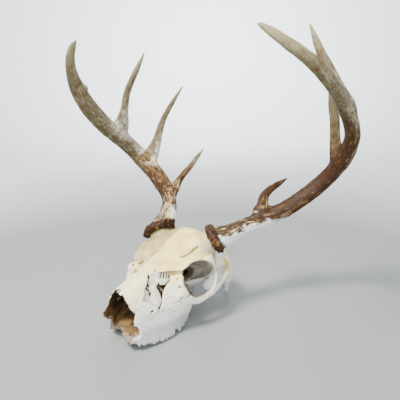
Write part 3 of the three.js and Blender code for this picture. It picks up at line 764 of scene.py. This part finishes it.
# Cracks, sutures and stains drawn on the bone: the points of each, its width and its strength.
LINES = [
    ([(-22, 4, 97), (-12, -3, 100.5), (-2.6, 4.4, 101.5), (8, 3.2, 100.8), (20, 10, 97)], 1.1, 0.5),
    ([(-2.6, 4.4, 101.5), (-12, -3, 100.5), (-9.6, -23.5, 95.7), (-4.9, -37.7, 91.4)], 1, 0.35),
    ([(-4.9, -37.7, 91.4), (0.8, -56.8, 84.2), (-3.2, -70.8, 80.4), (-8, -79, 78)], 1, 0.35),
    ([(24.7, -104.6, 49.5), (27.5, -99.6, 45.6), (28.4, -92.2, 41.3)], 1, 0.7),
    ([(12, -127, 61), (14, -121, 59), (16, -118.5, 58), (17.4, -117.2, 57.8),
      (18, -113, 56.5)], 1.1, 0.95),
    ([(17.5, -113, 58), (15.5, -106, 62.5), (13.2, -100, 66.5), (13, -92, 72)], 0.9, 0.85),
    ([(44.6, -66.6, 49), (43.1, -70, 45.8), (40.3, -71.6, 42.3), (39.4, -73.1, 41)], 1.2, 0.8),
    ([(39.4, -73.1, 41), (36.5, -78.2, 38.7), (35.9, -80.1, 35.5), (33.6, -85.8, 35.8)], 1.2, 0.75),
    ([(33.6, -85.8, 35.8), (31.1, -93.5, 35.6)], 1.1, 0.7),
    ([(30.2, -94.5, 40.4), (28.8, -101, 36), (27.5, -109, 31.6)], 2.2, 0.42),
    ([(17, -57, 82.5), (12, -66, 80.5), (5, -73, 79.5)], 0.9, 0.4),
    ([(27.7, -48.9, 86.2), (30.4, -45, 87), (33, -38, 88.5), (33, -30, 90.5),
      (34.5, -25, 92.8)], 2.5, 0.95),
    # Painted shadow along the top edge of the window on the right side.
    ([(-18, -78, 74), (-16.5, -89, 70), (-15, -100, 66), (-15, -106, 63)], 2.6, 0.85),
    ([(-8, 3, 102), (-10, -17, 97.5), (-10, -30, 93.5), (-7, -46, 88), (-7, -58, 84),
      (-8, -68, 81)], 1.3, 0.3),
    ([(-36, -66, 68), (-34, -66, 71), (-30, -66, 75)], 3, 0.85),
    ([(25.9, -16.6, 62.6), (24, -20, 59), (25, -23, 56)], 1.3, 0.6),
    ([(-12, -117, 19), (-13.4, -93.7, 20.6)], 1.6, 0.8),
    ([(-15, -129, 22), (-3.5, -130, 17)], 1.2, 0.8),
]
PITTED = [(41.3, -70, 37.6), (39.5, -73.4, 36.1), (38.3, -75.8, 33), (35.5, -80, 32.5)]
# Points in the hole behind the eye that is painted nearly black as painted shade.
DARK_RECESS = [(12, -24, 56), (16, -26, 56), (21.5, -27, 55.5)]
HIDDEN_SEAM = [(31, -96, 33), (40, -80, 26), (46, -64, 27), (52, -48, 27)]
# Holes and brow pits that are painted dark inside as painted shade.
SPOTS = [(point, radius) for point, way, radius, depth in HOLES if radius < 3]
SPOTS += [((x, y, z), radius) for x, y, z, radius in BROW_PITS]
room_low, room_high = (np.array(corner) / MM for corner in cad_box)
slope = np.gradient(skull.field, CELL)
for node, piece, points in bones:
    mesh = piece.data
    x, y, z = points.T
    normal = np.stack([read_field(skull, part, points) for part in slope], axis=1)
    normal /= np.maximum(np.linalg.norm(normal, axis=1), 1e-6)[:, None]
    own = np.zeros(len(points) * 3)
    mesh.vertices.foreach_get("normal", own)
    depth = read_field(skull, skull.field, points)
    skin_deep = (depth > -0.55)[:, None]
    normal = np.where(skin_deep, normal, own.reshape(-1, 3))
    points = np.clip(points - np.where(skin_deep, normal * depth[:, None], 0), room_low, room_high)
    mesh.vertices.foreach_set("co", (points * MM).astype(np.float32).ravel())
    mesh.update()
    mesh.normals_split_custom_set_from_vertices(normal.tolist())

    # Marks for the material: ivory and tan on the roof, the tan on its right half partly painted shade;
    # brown in the nose and on the broken rim, darkened further in as painted shade; grey-brown in the
    # sockets, part stain and part painted shade; grey low on the jaw as painted shade; lines along the
    # seams and cracks, dots for the pitted seam; and the holes, the brow pits and the recess behind
    # the eye painted dark as painted shade.
    blotch = swell(points, 11, 21) + 0.5 * swell(points, 4, 22)
    fine = swell(points, 1.8, 23)
    hollow = read_field(skull, cavity, points)
    in_nose = ramp(hollow, 1.0, 0.2) * ramp(np.abs(x), 40, 38)
    # Painted shade and stain: the sockets, and surfaces by the eye facing sideways or down, go
    # grey-brown.
    by_eye = ramp(y, 14, 6) * ramp(z, 86, 80) * ramp(z, 22, 30) * ramp(np.abs(x), 47, 38)
    by_eye = by_eye * ramp(normal[:, 2], 0.45, 0.1) * ramp(y, -62, -56)
    socket = np.maximum(ramp(read_field(skull, orbit, points), 1.4, 0.4), by_eye) * (1 - in_nose)
    roof_top = ramp(normal[:, 2], 0.1, 0.75)
    # The right half of the forehead is painted tan: part stain, part painted shade beside the middle
    # ridge.
    right_side = ramp(x + 0.6 * blotch + 8 - 3 * ramp(y, -28, -42), 1, -2)
    on_roof = ramp(z, 66, 80) * ramp(y, -84, -66)
    by_burr = 0
    for burr, reach in ((LEFT_BURR, 34), (RIGHT_BURR, 36)):
        away = np.linalg.norm(points - burr["centre"], axis=1) + 4 * blotch
        by_burr = np.maximum(by_burr, ramp(away, reach, reach - 14))
    warm = (0.08 + roof_top + 0.15 * blotch) * ramp(z, 30, 62) * (1 - 0.4 * ramp(y, -75, -100))
    tan = 0.75 * right_side * roof_top * (1 + 0.3 * blotch) + 0.06 * blotch + 0.75 * by_burr
    mark(mesh, warm=warm, tan=tan * np.maximum(on_roof, by_burr))
    low_edge = np.maximum(ramp(x, 13, 8), ramp(z, 24, 18) * ramp(x, 22, 17))
    rim = ramp(y + 2 * blotch - 12 * ramp(x, 12, 4), -114, -121)
    rim = rim * low_edge * (1 - roof_top * ramp(z, 40, 50))
    # Painted shade: the recess behind the eye is painted dark brown to nearly black.
    recess = near_line(points, DARK_RECESS, 12)
    inside = np.maximum(in_nose * ramp(y, -60, -75), 0.8 * rim)
    # Painted shade: darker further back and higher up in the nose.
    gloom = ramp(y + 0.35 * (z - 30) + 5 * blotch, -128, -106) * ramp(z, 20, 36)
    mark(mesh, inside=np.maximum(inside, recess * (y > -62)), deep=gloom + recess)
    shade = (0.62 + 0.38 * ramp(np.abs(x), 54, 47)) * ramp(np.abs(x), 59.5, 57.5)
    # Painted shade: the jaw greys below about 30 mm height, forward of the braincase.
    grime = 0.8 * ramp(z + 2 * blotch, 30, 15) * ramp(y, 0, -40)
    mark(mesh, grime=grime, socket=socket * shade * (0.9 + 0.1 * blotch))
    line = 0.55 * ramp(depth, -0.22, -0.45) * (1 - near_line(points, HIDDEN_SEAM, 9))
    broken = np.clip(0.75 + 0.5 * fine, 0, 1)
    for track, width, strength in LINES:
        drawn = near_line(points + 0.8 * fine[:, None], track, width)
        line = np.maximum(line, drawn * strength * broken)
    # Painted shade: each small hole and brow pit is painted dark inside.
    for spot, radius in SPOTS:
        away = np.linalg.norm(points * (np.sign(x)[:, None] ** [1, 0, 0]) - spot, axis=1)
        line = np.maximum(line, 0.85 * ramp(away, radius * 1.35, radius * 0.8))
    pits = ramp(swell(points, 1.7, 24), 0.25, 0.5) * near_line(points, PITTED, 6.5)
    line = np.maximum(line, 0.7 * pits)
    mark(mesh, line=np.maximum(line, recess * socket))
    mesh.materials.append(bone)
    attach(piece, "root")
    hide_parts(node)


# ---- Scroll bones and partition of the nose ----
# Paper-thin rolled leaves that show through the windows, white where they were bleached, brown
# deep inside and darker still the deeper they lie, as painted shade. Also the thin upright plate on
# the floor of the nose, darker towards the back as painted shade. They are held by their edges.
WINDOW_FACE = (65.6, 0.278, -0.399, 0.874)
FRONT_LEAF = [
    (-113, 53), (-107, 59), (-101, 63), (-98.5, 63), (-96.5, 57), (-99, 50), (-98, 42), (-95, 37),
    (-104, 40), (-110, 46),
]
TALL_LEAF = [
    (-88, 74.5), (-81, 76), (-74, 76), (-79, 66), (-84.5, 61), (-92.5, 53.5), (-95.5, 56),
    (-93, 62),
]
FOLDED_LEAF = [
    (-95.5, 53), (-91, 57), (-84, 60.5), (-84.5, 55), (-86.5, 48), (-84, 43), (-88, 40), (-92, 38),
    (-96, 40.5), (-97, 45), (-98, 50),
]
SLIT_LEAF = [
    (-82, 67), (-76, 77), (-54, 77), (-53, 70), (-66, 63), (-72, 59.5), (-75, 58.5), (-80, 60),
]
SLITS = [
    ((-73.5, 76), (-79, 68.5)), ((-70.5, 76), (-77, 66)), ((-67, 76), (-74, 65)),
    ((-64, 75.5), (-70.5, 65)), ((-61, 75), (-67.5, 64.5)), ((-58, 74), (-64.5, 64.5)),
]
DEEP_WALL = [
    (-106, 32), (-108, 50), (-102, 62), (-88, 72), (-62, 73), (-62, 50), (-80, 38), (-96, 28),
]
LEAF = 1.1
scrolls = Block((1, -125, 24), (36, -48, 78), 0.5)
leaf_x, leaf_y, leaf_z = scrolls.grid()
start, by_y, by_z, by_x = WINDOW_FACE
sunk = start + by_y * leaf_y + by_z * leaf_z - by_x * leaf_x


def leaf(outline, depth, thick=LEAF):
    """A sheet behind the window, that deep and of that outline seen from the side."""
    seen = outline_distance(scrolls.axes[1], scrolls.axes[2], outline)[None]
    sheet = np.abs(sunk - depth) - thick / 2
    return np.maximum(seen * 0.85, sheet)


crumple = grain(scrolls, 7, 41)
fold = 1.6 * np.sin((leaf_y * 0.82 + leaf_z * 0.57) * 0.62) + 0.8 * crumple
slit_leaf = leaf(SLIT_LEAF, 2.4 + 0.7 * crumple)
for (y0, z0), (y1, z1) in SLITS:
    off_y, off_z = leaf_y - y0, leaf_z - z0
    way_y, way_z = y1 - y0, z1 - z0
    t = np.clip((off_y * way_y + off_z * way_z) / (way_y**2 + way_z**2), 0, 1)
    slit = np.sqrt((off_y - t * way_y) ** 2 + (off_z - t * way_z) ** 2) - 0.8
    slit_leaf = np.maximum(slit_leaf, -slit)
folded = leaf(FOLDED_LEAF, 1.9 + 0.09 * (leaf_y + 92) ** 2 * 0.4 + 0.5 * crumple)
across_roll = (leaf_y + 86.5) * 0.9 + (leaf_z - 52) * 0.42
rolled = np.abs(np.sqrt((sunk - 4.5) ** 2 + across_roll**2) - 3.4) - LEAF / 2
rolled = np.maximum(rolled, np.maximum(np.abs(leaf_z - 52) - 9, leaf_y + 85.5))
tall = leaf(TALL_LEAF, 3 + 0.8 * fold)
front = leaf(FRONT_LEAF, 1 + 0.16 * np.maximum(leaf_z - 48, 0) + 0.4 * crumple)
deep = leaf(DEEP_WALL, 9 + fold, 1.4)
scrolls.field = np.minimum(np.minimum(melt(folded, rolled, 1), slit_leaf), np.minimum(tall, front))
scrolls.field = np.minimum(scrolls.field, np.maximum(deep, 3 - leaf_x))
for side in (1, -1):
    node = "turbinates_left" if side == 1 else "turbinates_right"
    piece, points = skin(node + "_bone", scrolls, scrolls.field, loose=True)
    depth = start + by_y * points[:, 1] + by_z * points[:, 2] - by_x * points[:, 0]
    if side == -1:
        points[:, 0] = -points[:, 0]
        piece.data.vertices.foreach_set("co", (points * MM).astype(np.float32).ravel())
        piece.data.flip_normals()
    fine = swell(points, 1.8, 43)
    mark(piece.data, warm=0.25 + 0.3 * swell(points, 6, 42))
    stained = ramp(points[:, 1], -93, -99) * (side == -1)
    stained = np.maximum(ramp(depth + fine, 4.5, 7.5), stained)
    # Painted shade: the leaves darken the deeper they lie behind the window.
    mark(piece.data, inside=stained, deep=0.35 + 0.4 * ramp(depth, 8, 11))
    mark(piece.data, tan=0.5 * swell(points, 4, 44) * ramp(points[:, 2], 52, 64))
    piece.data.materials.append(bone)
    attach(piece, "root")
    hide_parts(node)

PARTITION = [(-116, 16), (-114, 18.5), (-106, 21), (-97, 27), (-88, 36), (-67, 42), (-67, 20)]
upright = Block((-6, -125, 16), (6, -64, 46), 0.5)
plate = outline_distance(upright.axes[1], upright.axes[2], PARTITION)[None]
spread = 0.7 + 1.1 * np.clip((upright.axes[2] - 28) / 14, 0, 1)[None, None, :]
upright.field = np.maximum(plate, np.abs(upright.axes[0])[:, None, None] - spread)
piece, points = skin("vomer_bone", upright, upright.field + 0.15 * grain(upright, 5, 45))
# Painted shade: the plate darkens towards the back of the nose.
mark(piece.data, inside=np.ones(len(points)), deep=ramp(points[:, 1], -112, -92))
piece.data.materials.append(bone)
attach(piece, "root")
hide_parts("vomer")


# ---- Antlers ----
# Solid bone grown in one piece each: a knobbed burr on the pedicle, a brown grooved beam, three
# tines, and tips polished pale. Each is shaped whole, so no joint shows where it forks.
ANTLER_CELL = 0.8
# The rod on which the furrows of every beam and tine are drawn.
GIRTH = 9.0
ROD_LENGTH = 400
# For each tine: the part of the beam whose colour its base has, and how far on its tip is.
TINE_TONES = [(0.05, 0.5), (0.5, 0.5), (0.6, 0.4)]
# Rows of both beams and of the tines: x, y, z and the two widths.
LEFT_BEAM = [
    (43, 1, 98, 29, 28), (50, 10, 99, 27, 26), (56, 20, 102, 23, 22), (63, 34, 107, 20.5, 20),
    (80, 61, 114, 22, 20), (104, 80, 127, 23, 19), (120, 95, 140, 23, 19), (142, 108, 162, 23, 19),
    (163, 107, 188, 23, 18.5), (175, 98, 208, 22, 17.5), (181, 87, 226, 21, 17.5),
    (181, 74, 243, 20, 17.5), (180, 59, 255, 19, 17), (181, 29, 269, 18, 16),
    (182, -5, 280, 17, 14.5), (178, -29, 292, 15.5, 13.5), (170, -44, 303, 13.5, 12.5),
    (158, -52, 313, 11.5, 11), (145, -58, 323, 9, 9), (135, -61, 330, 6, 6),
    (130, -62, 333, 2.5, 2.5),
]
RIGHT_BEAM = [
    (-48, 1, 94, 29, 28), (-46, 12, 105, 27, 26), (-50, 24, 112, 24, 23), (-60, 40, 122, 20.5, 20),
    (-80, 60, 133, 24, 20), (-114, 79, 151, 27, 19), (-158, 98, 170, 28, 19),
    (-174, 89, 190, 27, 18), (-179, 63, 212, 27, 18), (-179, 35, 232, 27, 17.5),
    (-177, 7, 256, 26, 17), (-173, -15, 281, 23, 16.5), (-166, -29, 298, 18, 15),
    (-156, -41, 316, 13.5, 13), (-143, -49, 329, 11, 11), (-133, -53, 336, 8, 8),
    (-122, -57, 341, 2.5, 2.5),
]
LEFT_TINES = [
    [
        (76, 56, 121, 22, 15), (77, 66, 130, 17, 14), (74, 78, 141, 13, 12),
        (76, 92, 148, 10.5, 10), (82, 105, 154, 8, 8), (90, 115, 161, 2, 2),
    ],
    [
        (168, 104, 186, 30, 16), (158, 107, 201, 18, 14), (155, 108, 220, 13.5, 12.5),
        (153, 109, 240, 12.5, 12), (149, 110, 258, 11, 10.5), (146, 111, 274, 8, 8),
        (141, 112, 290, 2, 2),
    ],
    [
        (182, 63, 251, 20, 12), (180, 62, 262, 19, 14), (172, 61, 275, 15, 13.5),
        (163, 62, 289, 13.5, 12.5), (155, 62, 303, 12, 11.5), (146, 62, 319, 10.5, 10),
        (139, 62, 334, 7, 7), (132, 62, 349, 2, 2),
    ],
]
RIGHT_TINES = [
    [
        (-73, 58, 131, 24, 15), (-71, 68, 138, 16, 13.5), (-72, 80, 148, 11, 10.5),
        (-70, 92, 158, 9.5, 9), (-67, 106, 168, 8.5, 8.5), (-65, 120, 180, 6.5, 6.5),
        (-63, 134, 191, 2, 2),
    ],
    [
        (-149, 95, 168, 36, 14), (-138, 102, 193, 22, 14), (-132, 105, 212, 13.5, 12.5),
        (-122, 107, 238, 10, 9.5), (-107, 109, 261, 8, 8), (-96, 110, 275, 5.5, 5.5),
        (-84, 110, 289, 2, 2),
    ],
    [
        (-184, 63, 214, 34, 13), (-172, 65, 236, 24, 13.5), (-165, 65, 258, 12.5, 12),
        (-158, 65, 281, 11, 10.5), (-146, 66, 301, 9.5, 9), (-133, 67, 320, 7, 7),
        (-121, 67, 337, 2, 2),
    ],
]


def around_line(points, stations, up):
    """For each point: its distance in local radii, mm along the line, and its offsets across it."""
    best = np.full(len(points), 1e9)
    where = np.zeros((len(points), 4))
    run = 0
    for start, end, length, along, lift, side in stretches(stations, up, 3):
        off = points - start[:3]
        t = np.clip(off @ along, 0, length)
        size = start[3:] + (end[3:] - start[3:]) * (t / length)[:, None]
        u, v = off @ lift, off @ side
        w = (off @ along - t) / size.min(1)
        out = np.sqrt((u / size[:, 0]) ** 2 + (v / size[:, 1]) ** 2 + w * w)
        closer = out < best
        best = np.where(closer, out, best)
        found = np.stack([run + t, u, v, size.mean(1)], axis=1)
        where = np.where(closer[:, None], found, where)
        run += length
    return best, where, run


def pearls(points, cell, seed, share):
    """Round grains, one to a cell where the share lets them: 1 on top of a grain, 0 between."""
    rng = np.random.default_rng(seed)
    spots = rng.uniform(0.15, 0.85, (32, 32, 32, 3))
    luck = rng.uniform(0, 1, (32, 32, 32))
    place = points / cell
    home = np.floor(place).astype(int)
    height = np.zeros(len(points))
    for step in np.ndindex(3, 3, 3):
        box = home + np.array(step) - 1
        key = tuple((box % 32).T)
        away = np.linalg.norm(place - box - spots[key], axis=1)
        grain_top = ramp(away, 0.5, 0.1) * (luck[key] < share)
        height = np.maximum(height, grain_top * (0.5 + 0.5 * luck[key] / np.maximum(share, 0.01)))
    return height


# Antler, as it comes off the forest floor: bark and sap have dyed its furrows dark brown, rubbing
# has left the ridges tan low down and grey above, the points ivory, and cleaning a stretch white.
# One side of each antler is painted paler and the other darker, as painted light and shade.
FURROW_SPACING = 2.2
ANTLER_IOR = 1.3
antler = new_material("furrowed antler")
around = add_node(antler, "Attribute", "Vector", attribute_name="around")
cover = add_node(antler, "Attribute", "Fac", attribute_name="cover")
depth = add_node(antler, "Attribute", "Fac", attribute_name="depth")
edge = add_node(antler, "Attribute", "Fac", attribute_name="bare")
noise = {"Scale": 1 / FURROW_SPACING, "Detail": 3.5, "Roughness": 0.62}
grooves = add_node(antler, "TexNoise", "Fac", Vector=around, **noise)
lower = add_node(antler, "MapRange", A0=cover, A1=0.0, A2=1.0, A3=0.66, A4=0.28)
upper = add_node(antler, "Math", operation="ADD", A0=lower, A1=0.11)
furrow = add_node(antler, "MapRange", A0=grooves, A1=lower, A2=upper)
ridge = lay_colour(antler, tone("#7b5c34"), "pale", tone("#8f8770"))
ridge = lay_colour(antler, ridge, "cream", tone("#cdb98e"))
ridge = lay_colour(antler, ridge, "web", tone("#cbc8bc"))
ridge = lay_colour(antler, ridge, mottle(antler, 6, 4, 0.35, 0.7), tone("#b89f7c"), "MULTIPLY")
dyed = lay_colour(antler, tone("#2b1606"), "pale", tone("#4a3a1b"))
sunk_in = add_node(antler, "Math", operation="MULTIPLY", A0=furrow, A1=depth)
colour = lay_colour(antler, ridge, sunk_in, dyed)
colour = lay_colour(antler, colour, "tip", tone("#8d8465"))
white = lay_colour(antler, tone("#f6f4ee"), mottle(antler, 6, 3, 0.5, 0.75), tone("#e3dac6"))
flecks = add_node(antler, "MapRange", A0=grooves, A1=0.62, A2=0.5)
spotted = add_node(antler, "Math", operation="MULTIPLY", A0=edge, A1=flecks)
whole = add_node(antler, "MapRange", A0=edge, A1=0.55, A2=0.95)
cleaned = add_node(antler, "Math", operation="MAXIMUM", A0=spotted, A1=whole)
colour = lay_colour(antler, colour, cleaned, white)
relief = add_node(antler, "Math", operation="MULTIPLY", A0=furrow, A1=-1.0)
finish_surface(antler, colour, 0.6, 0.7, relief, ANTLER_IOR)


def grow_antler(side, beam, tines, burr, bare_zone, painted_light_way, web, dark, greying, knobs_of_beam=()):
    """One antler, whole, with its burr, grooves and pearls."""
    inward = -np.sign(beam[0][0])
    up = (inward * 0.6, 0.55, 0.45)
    halved = [(x, y, z, a / 2, b / 2) for x, y, z, a, b in beam]
    spikes = [[(x, y, z, a / 2, b / 2) for x, y, z, a, b in tine] for tine in tines]
    middle = np.array([row[:3] for row in beam], float)
    every = np.array([row[:3] for row in sum(spikes, halved)])
    block = Block(every.min(0) - 26, every.max(0) + 12, ANTLER_CELL)
    block.field = bar_distance(block, halved, up, 3)
    for spike in spikes:
        spike[0] = tuple(0.6 * a + 0.4 * b for a, b in zip(spike[0], spike[1]))
        nearest = 1 + np.linalg.norm(middle[1:-1] - spike[0][:3], axis=1).argmin()
        along_beam = middle[nearest + 1] - middle[nearest - 1]
        block.add(bar_distance(block, spike, along_beam, 3), 7)
    axis = np.array(burr["axis"]) / np.linalg.norm(burr["axis"])
    centre = np.array(burr["centre"])
    reach = burr["radius"] + 8
    cut, x, y, z = block.near(centre - reach, centre + reach)
    x, y, z = x - centre[0], y - centre[1], z - centre[2]
    height = toward(x, y, z, axis)
    out = np.sqrt(np.maximum(x * x + y * y + z * z - height * height, 0.01))
    first = np.cross(axis, (0, 0, 1))
    first /= np.linalg.norm(first)
    second = np.cross(axis, first)
    angle = np.arctan2(toward(x, y, z, second), toward(x, y, z, first))
    radius = burr["radius"] * (1 + 0.035 * np.cos(5 * angle) + 0.025 * np.sin(8 * angle)) - BURR_LIP
    ring = np.sqrt(np.maximum(out - radius, 0) ** 2 + (height * 0.9) ** 2) - BURR_LIP
    below = -BURR_HEIGHT / 2 - height
    block.field[cut] = melt(np.maximum(block.field[cut], below), ring, 3)
    for knob, radius in knobs_of_beam:
        cut, x, y, z = block.near(np.array(knob) - 14, np.array(knob) + 14)
        block.field[cut] = melt(block.field[cut], ball(x, y, z, knob, (radius, radius, radius)), 6)
    piece, points = skin("antler_" + side, block, block.field)

    best, where, length = around_line(points, halved, up)
    tube = np.zeros(len(points), int)
    far = where[:, 0] / length
    for k, spike in enumerate(spikes):
        out, found, run = around_line(points, spike, (0.2, 0.3, 0.9))
        closer = (out < best - 0.02) & (found[:, 0] > 6)
        tube = np.where(closer, k + 1, tube)
        where = np.where(closer[:, None], found, where)
        first_tone, tone_reach = TINE_TONES[k]
        far = np.where(closer, first_tone + tone_reach * found[:, 0] / run, far)
        best = np.where(closer, out, best)
    angle = np.arctan2(where[:, 2], where[:, 1])
    # Each point is laid on one straight rod, where every tine has its own stretch.
    run_out = where[:, 0] + ROD_LENGTH * tube
    wrapped = np.stack([GIRTH * np.cos(angle), GIRTH * np.sin(angle), run_out], axis=1)
    stretched = wrapped * (1, 1, 0.2)
    low_down = ramp(far, 0.55, 0.1)
    height_here = (points - centre) @ axis
    in_burr = ramp(np.abs(height_here), 9, 5) * ramp(np.linalg.norm(points - centre, axis=1), 34, 28)
    streaks = 0.8 * swell(stretched, 2.6, 31)
    beads = pearls(wrapped * (1, 1, 0.6), 2.9, 33, 0.75 * low_down) * (1 - in_burr)
    knobs = pearls(points, 5, 34, 0.95) * in_burr
    relief = 0.9 * (streaks - 0.2) * (0.35 + 0.65 * low_down) + 0.8 * beads * low_down + 1.8 * knobs
    relief = relief + 0.35 * swell(wrapped, 8, 35)
    fade = ramp(where[:, 3], 1.5, 4)
    normal = np.zeros(len(points) * 3)
    piece.data.vertices.foreach_get("normal", normal)
    normal = normal.reshape(-1, 3)
    moved = np.clip(points + normal * (relief * fade * 0.9)[:, None], room_low, room_high)
    piece.data.vertices.foreach_set("co", (moved * MM).astype(np.float32).ravel())
    piece.data.update()

    blotch = swell(points, 7, 36) + 0.6 * swell(points, 2.6, 37)
    bare = bare_zone(points, normal, where, tube, blotch) * (1 - in_burr)
    grey = ramp(far + 0.08 * blotch, *greying)
    # Painted light and shade: the side facing the given way is paler with shallower dark furrows, the
    # far side darker.
    painted_light_side = ramp(normal @ np.array(painted_light_way) + 0.3 * blotch, -0.7, 0.9)
    cover = dark - 0.32 * painted_light_side - 0.14 * grey + 0.14 * blotch - 0.15 * beads
    depth = 0.95 - 0.22 * grey - 0.15 * painted_light_side * grey
    fork = np.zeros(len(points))
    for k in (1, 2):
        away = np.linalg.norm(points - np.array(spikes[k][1][:3]), axis=1)
        fork = np.maximum(fork, ramp(away + 5 * blotch, 42, 20) * ramp(painted_light_side, 0.3, 0.75))
    cream = ramp(far + 0.02 * blotch, 0.2, 0.06) * (1 - in_burr)
    cover = np.where(in_burr > 0.5, 0.9 - 0.45 * knobs + 0.25 * blotch, cover * (1 - 0.6 * fork * web))
    depth = depth * ramp(far, 1.0, 0.85)
    tip = ramp(far + 0.04 * blotch, 0.86, 1.0)
    mark(piece.data, pale=grey, web=fork * web, cream=cream, tip=tip)
    mark(piece.data, cover=cover, depth=depth, bare=bare)
    layer = piece.data.attributes.new("around", "FLOAT_VECTOR", "POINT")
    layer.data.foreach_set("vector", (wrapped * (1, 1, 0.16)).astype(np.float32).ravel())
    piece.data.materials.append(antler)
    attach(piece, "root")
    names = ["antler_base", "antler_lower_beam", "antler_middle_beam", "antler_upper_beam"]
    names += ["antler_brow_tine", "antler_second_tine", "antler_third_tine"]
    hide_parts(*[name + "_" + side for name in names])


def left_bare(points, normal, where, tube, blotch):
    """White underside of the first stretch, narrowing as it goes out, with a spotted edge."""
    run = where[:, 0]
    low_side = normal @ np.array([0.2, -0.45, -0.87]) + 0.3 * blotch
    edge = 0.009 * (run - 20) + 0.05
    return ramp(low_side - edge, -0.25, 0.25) * ramp(run + 9 * blotch, 116, 78) * (tube == 0)


def right_bare(points, normal, where, tube, blotch):
    """A white patch just above the burr, on its outer side."""
    facing = normal @ np.array([0.86, 0.2, -0.35]) + 0.3 * blotch
    edge = 0.5 - 0.03 * np.minimum(where[:, 0] - 12, 18)
    return ramp(facing - edge, -0.2, 0.2) * ramp(where[:, 0] + 5 * blotch, 42, 28) * (tube == 0)


grow_antler(
    "left", LEFT_BEAM, LEFT_TINES, LEFT_BURR, left_bare,
    painted_light_way=(0.75, 0.5, -0.1), web=0.3, dark=0.97, greying=(0.45, 0.8),
)
KNOB = ((-163, -13, 286), 3.5)
grow_antler(
    "right", RIGHT_BEAM, RIGHT_TINES, RIGHT_BURR, right_bare,
    painted_light_way=(0.6, 0.4, 0.6), web=1, dark=0.86, greying=(0.2, 0.55), knobs_of_beam=[KNOB],
)


# ---- Table, light and camera ----
# A plain table top that sweeps up far off into a round backdrop, with no corner or horizon, painted
# grey near the skull as painted shade and paling to near white further off. One soft light stands
# high in front, a weak one fills from the side, and one lights the backdrop.
SWEEP_START, SWEEP_WIDTH, SWEEP_HEIGHT = 2.2, 1.6, 2.4
SIDES = 96
angles = np.linspace(0, 2 * math.pi, SIDES, endpoint=False)
rings = [(0.02, 0), (1, 0), (SWEEP_START, 0)]
for turn in np.radians(np.arange(6, 91, 6)):
    rings.append((SWEEP_START + SWEEP_WIDTH * math.sin(turn), SWEEP_HEIGHT * (1 - math.cos(turn))))
corners = [(r * math.cos(a), r * math.sin(a), z) for r, z in rings for a in angles]
faces = [tuple(range(SIDES))]
for low in range(0, (len(rings) - 1) * SIDES, SIDES):
    for n in range(SIDES):
        after = (n + 1) % SIDES
        faces.append((low + n, low + SIDES + n, low + SIDES + after, low + after))
floor_mesh = bpy.data.meshes.new("table_top")
floor_mesh.from_pydata(corners, [], faces)
floor_mesh.shade_smooth()
floor = bpy.data.objects.new("table_top", floor_mesh)
bpy.context.scene.collection.objects.link(floor)
table = new_material("pale table top")
place = add_node(table, "TexCoord", "Object")
reach = add_node(table, "VectorMath", "Value", operation="LENGTH", A0=place)
# Painted shade: the top is darker grey within about half a metre of the skull.
distant = add_node(table, "MapRange", A0=reach, A1=0.45, A2=1.3)
finish_surface(table, lay_colour(table, tone("#858988"), distant, tone("#f4f8f9")), 0.5, 0.0, 0.0)
floor.data.materials.append(table)

LENS = 36.5
CAMERA_PLACE = (0.3045, -0.4114, 0.2661)
AZIMUTH, ELEVATION, ROLL = 34.47, 13.61, -0.74
bpy.ops.object.camera_add(location=CAMERA_PLACE)
camera = bpy.context.active_object
turn = Matrix.Rotation(math.radians(AZIMUTH), 3, "Z")
turn = turn @ Matrix.Rotation(math.radians(90 - ELEVATION), 3, "X")
turn = turn @ Matrix.Rotation(math.radians(ROLL), 3, "Z")
camera.rotation_euler = turn.to_euler()
camera.data.lens = LENS
camera.data.sensor_width = 36
bpy.context.scene.camera = camera
SKULL_MIDDLE = (0, 0, 0.12)
BACKDROP = (-1.8, 2.6, 0.9)
BACKDROP_SPREAD = 100
# Place, size, power, colour and aim of the main light, the fill and the light on the backdrop.
LAMPS = [
    ((-0.25, -0.9, 1.75), 0.55, 105, (1, 0.97, 0.92), SKULL_MIDDLE),
    ((0.9, -1.2, 1.0), 1.1, 28, (0.97, 0.98, 1), SKULL_MIDDLE),
    ((-0.2, 0.9, 2.1), 1.2, 78, (1, 1, 1), BACKDROP),
]
for place, size, power, colour, aim in LAMPS:
    bpy.ops.object.light_add(type="AREA", location=place)
    lamp = bpy.context.active_object
    lamp.data.size = size
    lamp.data.energy = power
    lamp.data.color = colour
    lamp.rotation_euler = (Vector(aim) - lamp.location).to_track_quat("-Z", "Y").to_euler()
    lamp.visible_camera = False
lamp.data.spread = math.radians(BACKDROP_SPREAD)
world = bpy.data.worlds.new("studio")
bpy.context.scene.world = world
world.use_nodes = True
sky = world.node_tree.nodes["Background"].inputs
sky["Color"].default_value = (0.86, 0.93, 1, 1)
sky["Strength"].default_value = 0.58
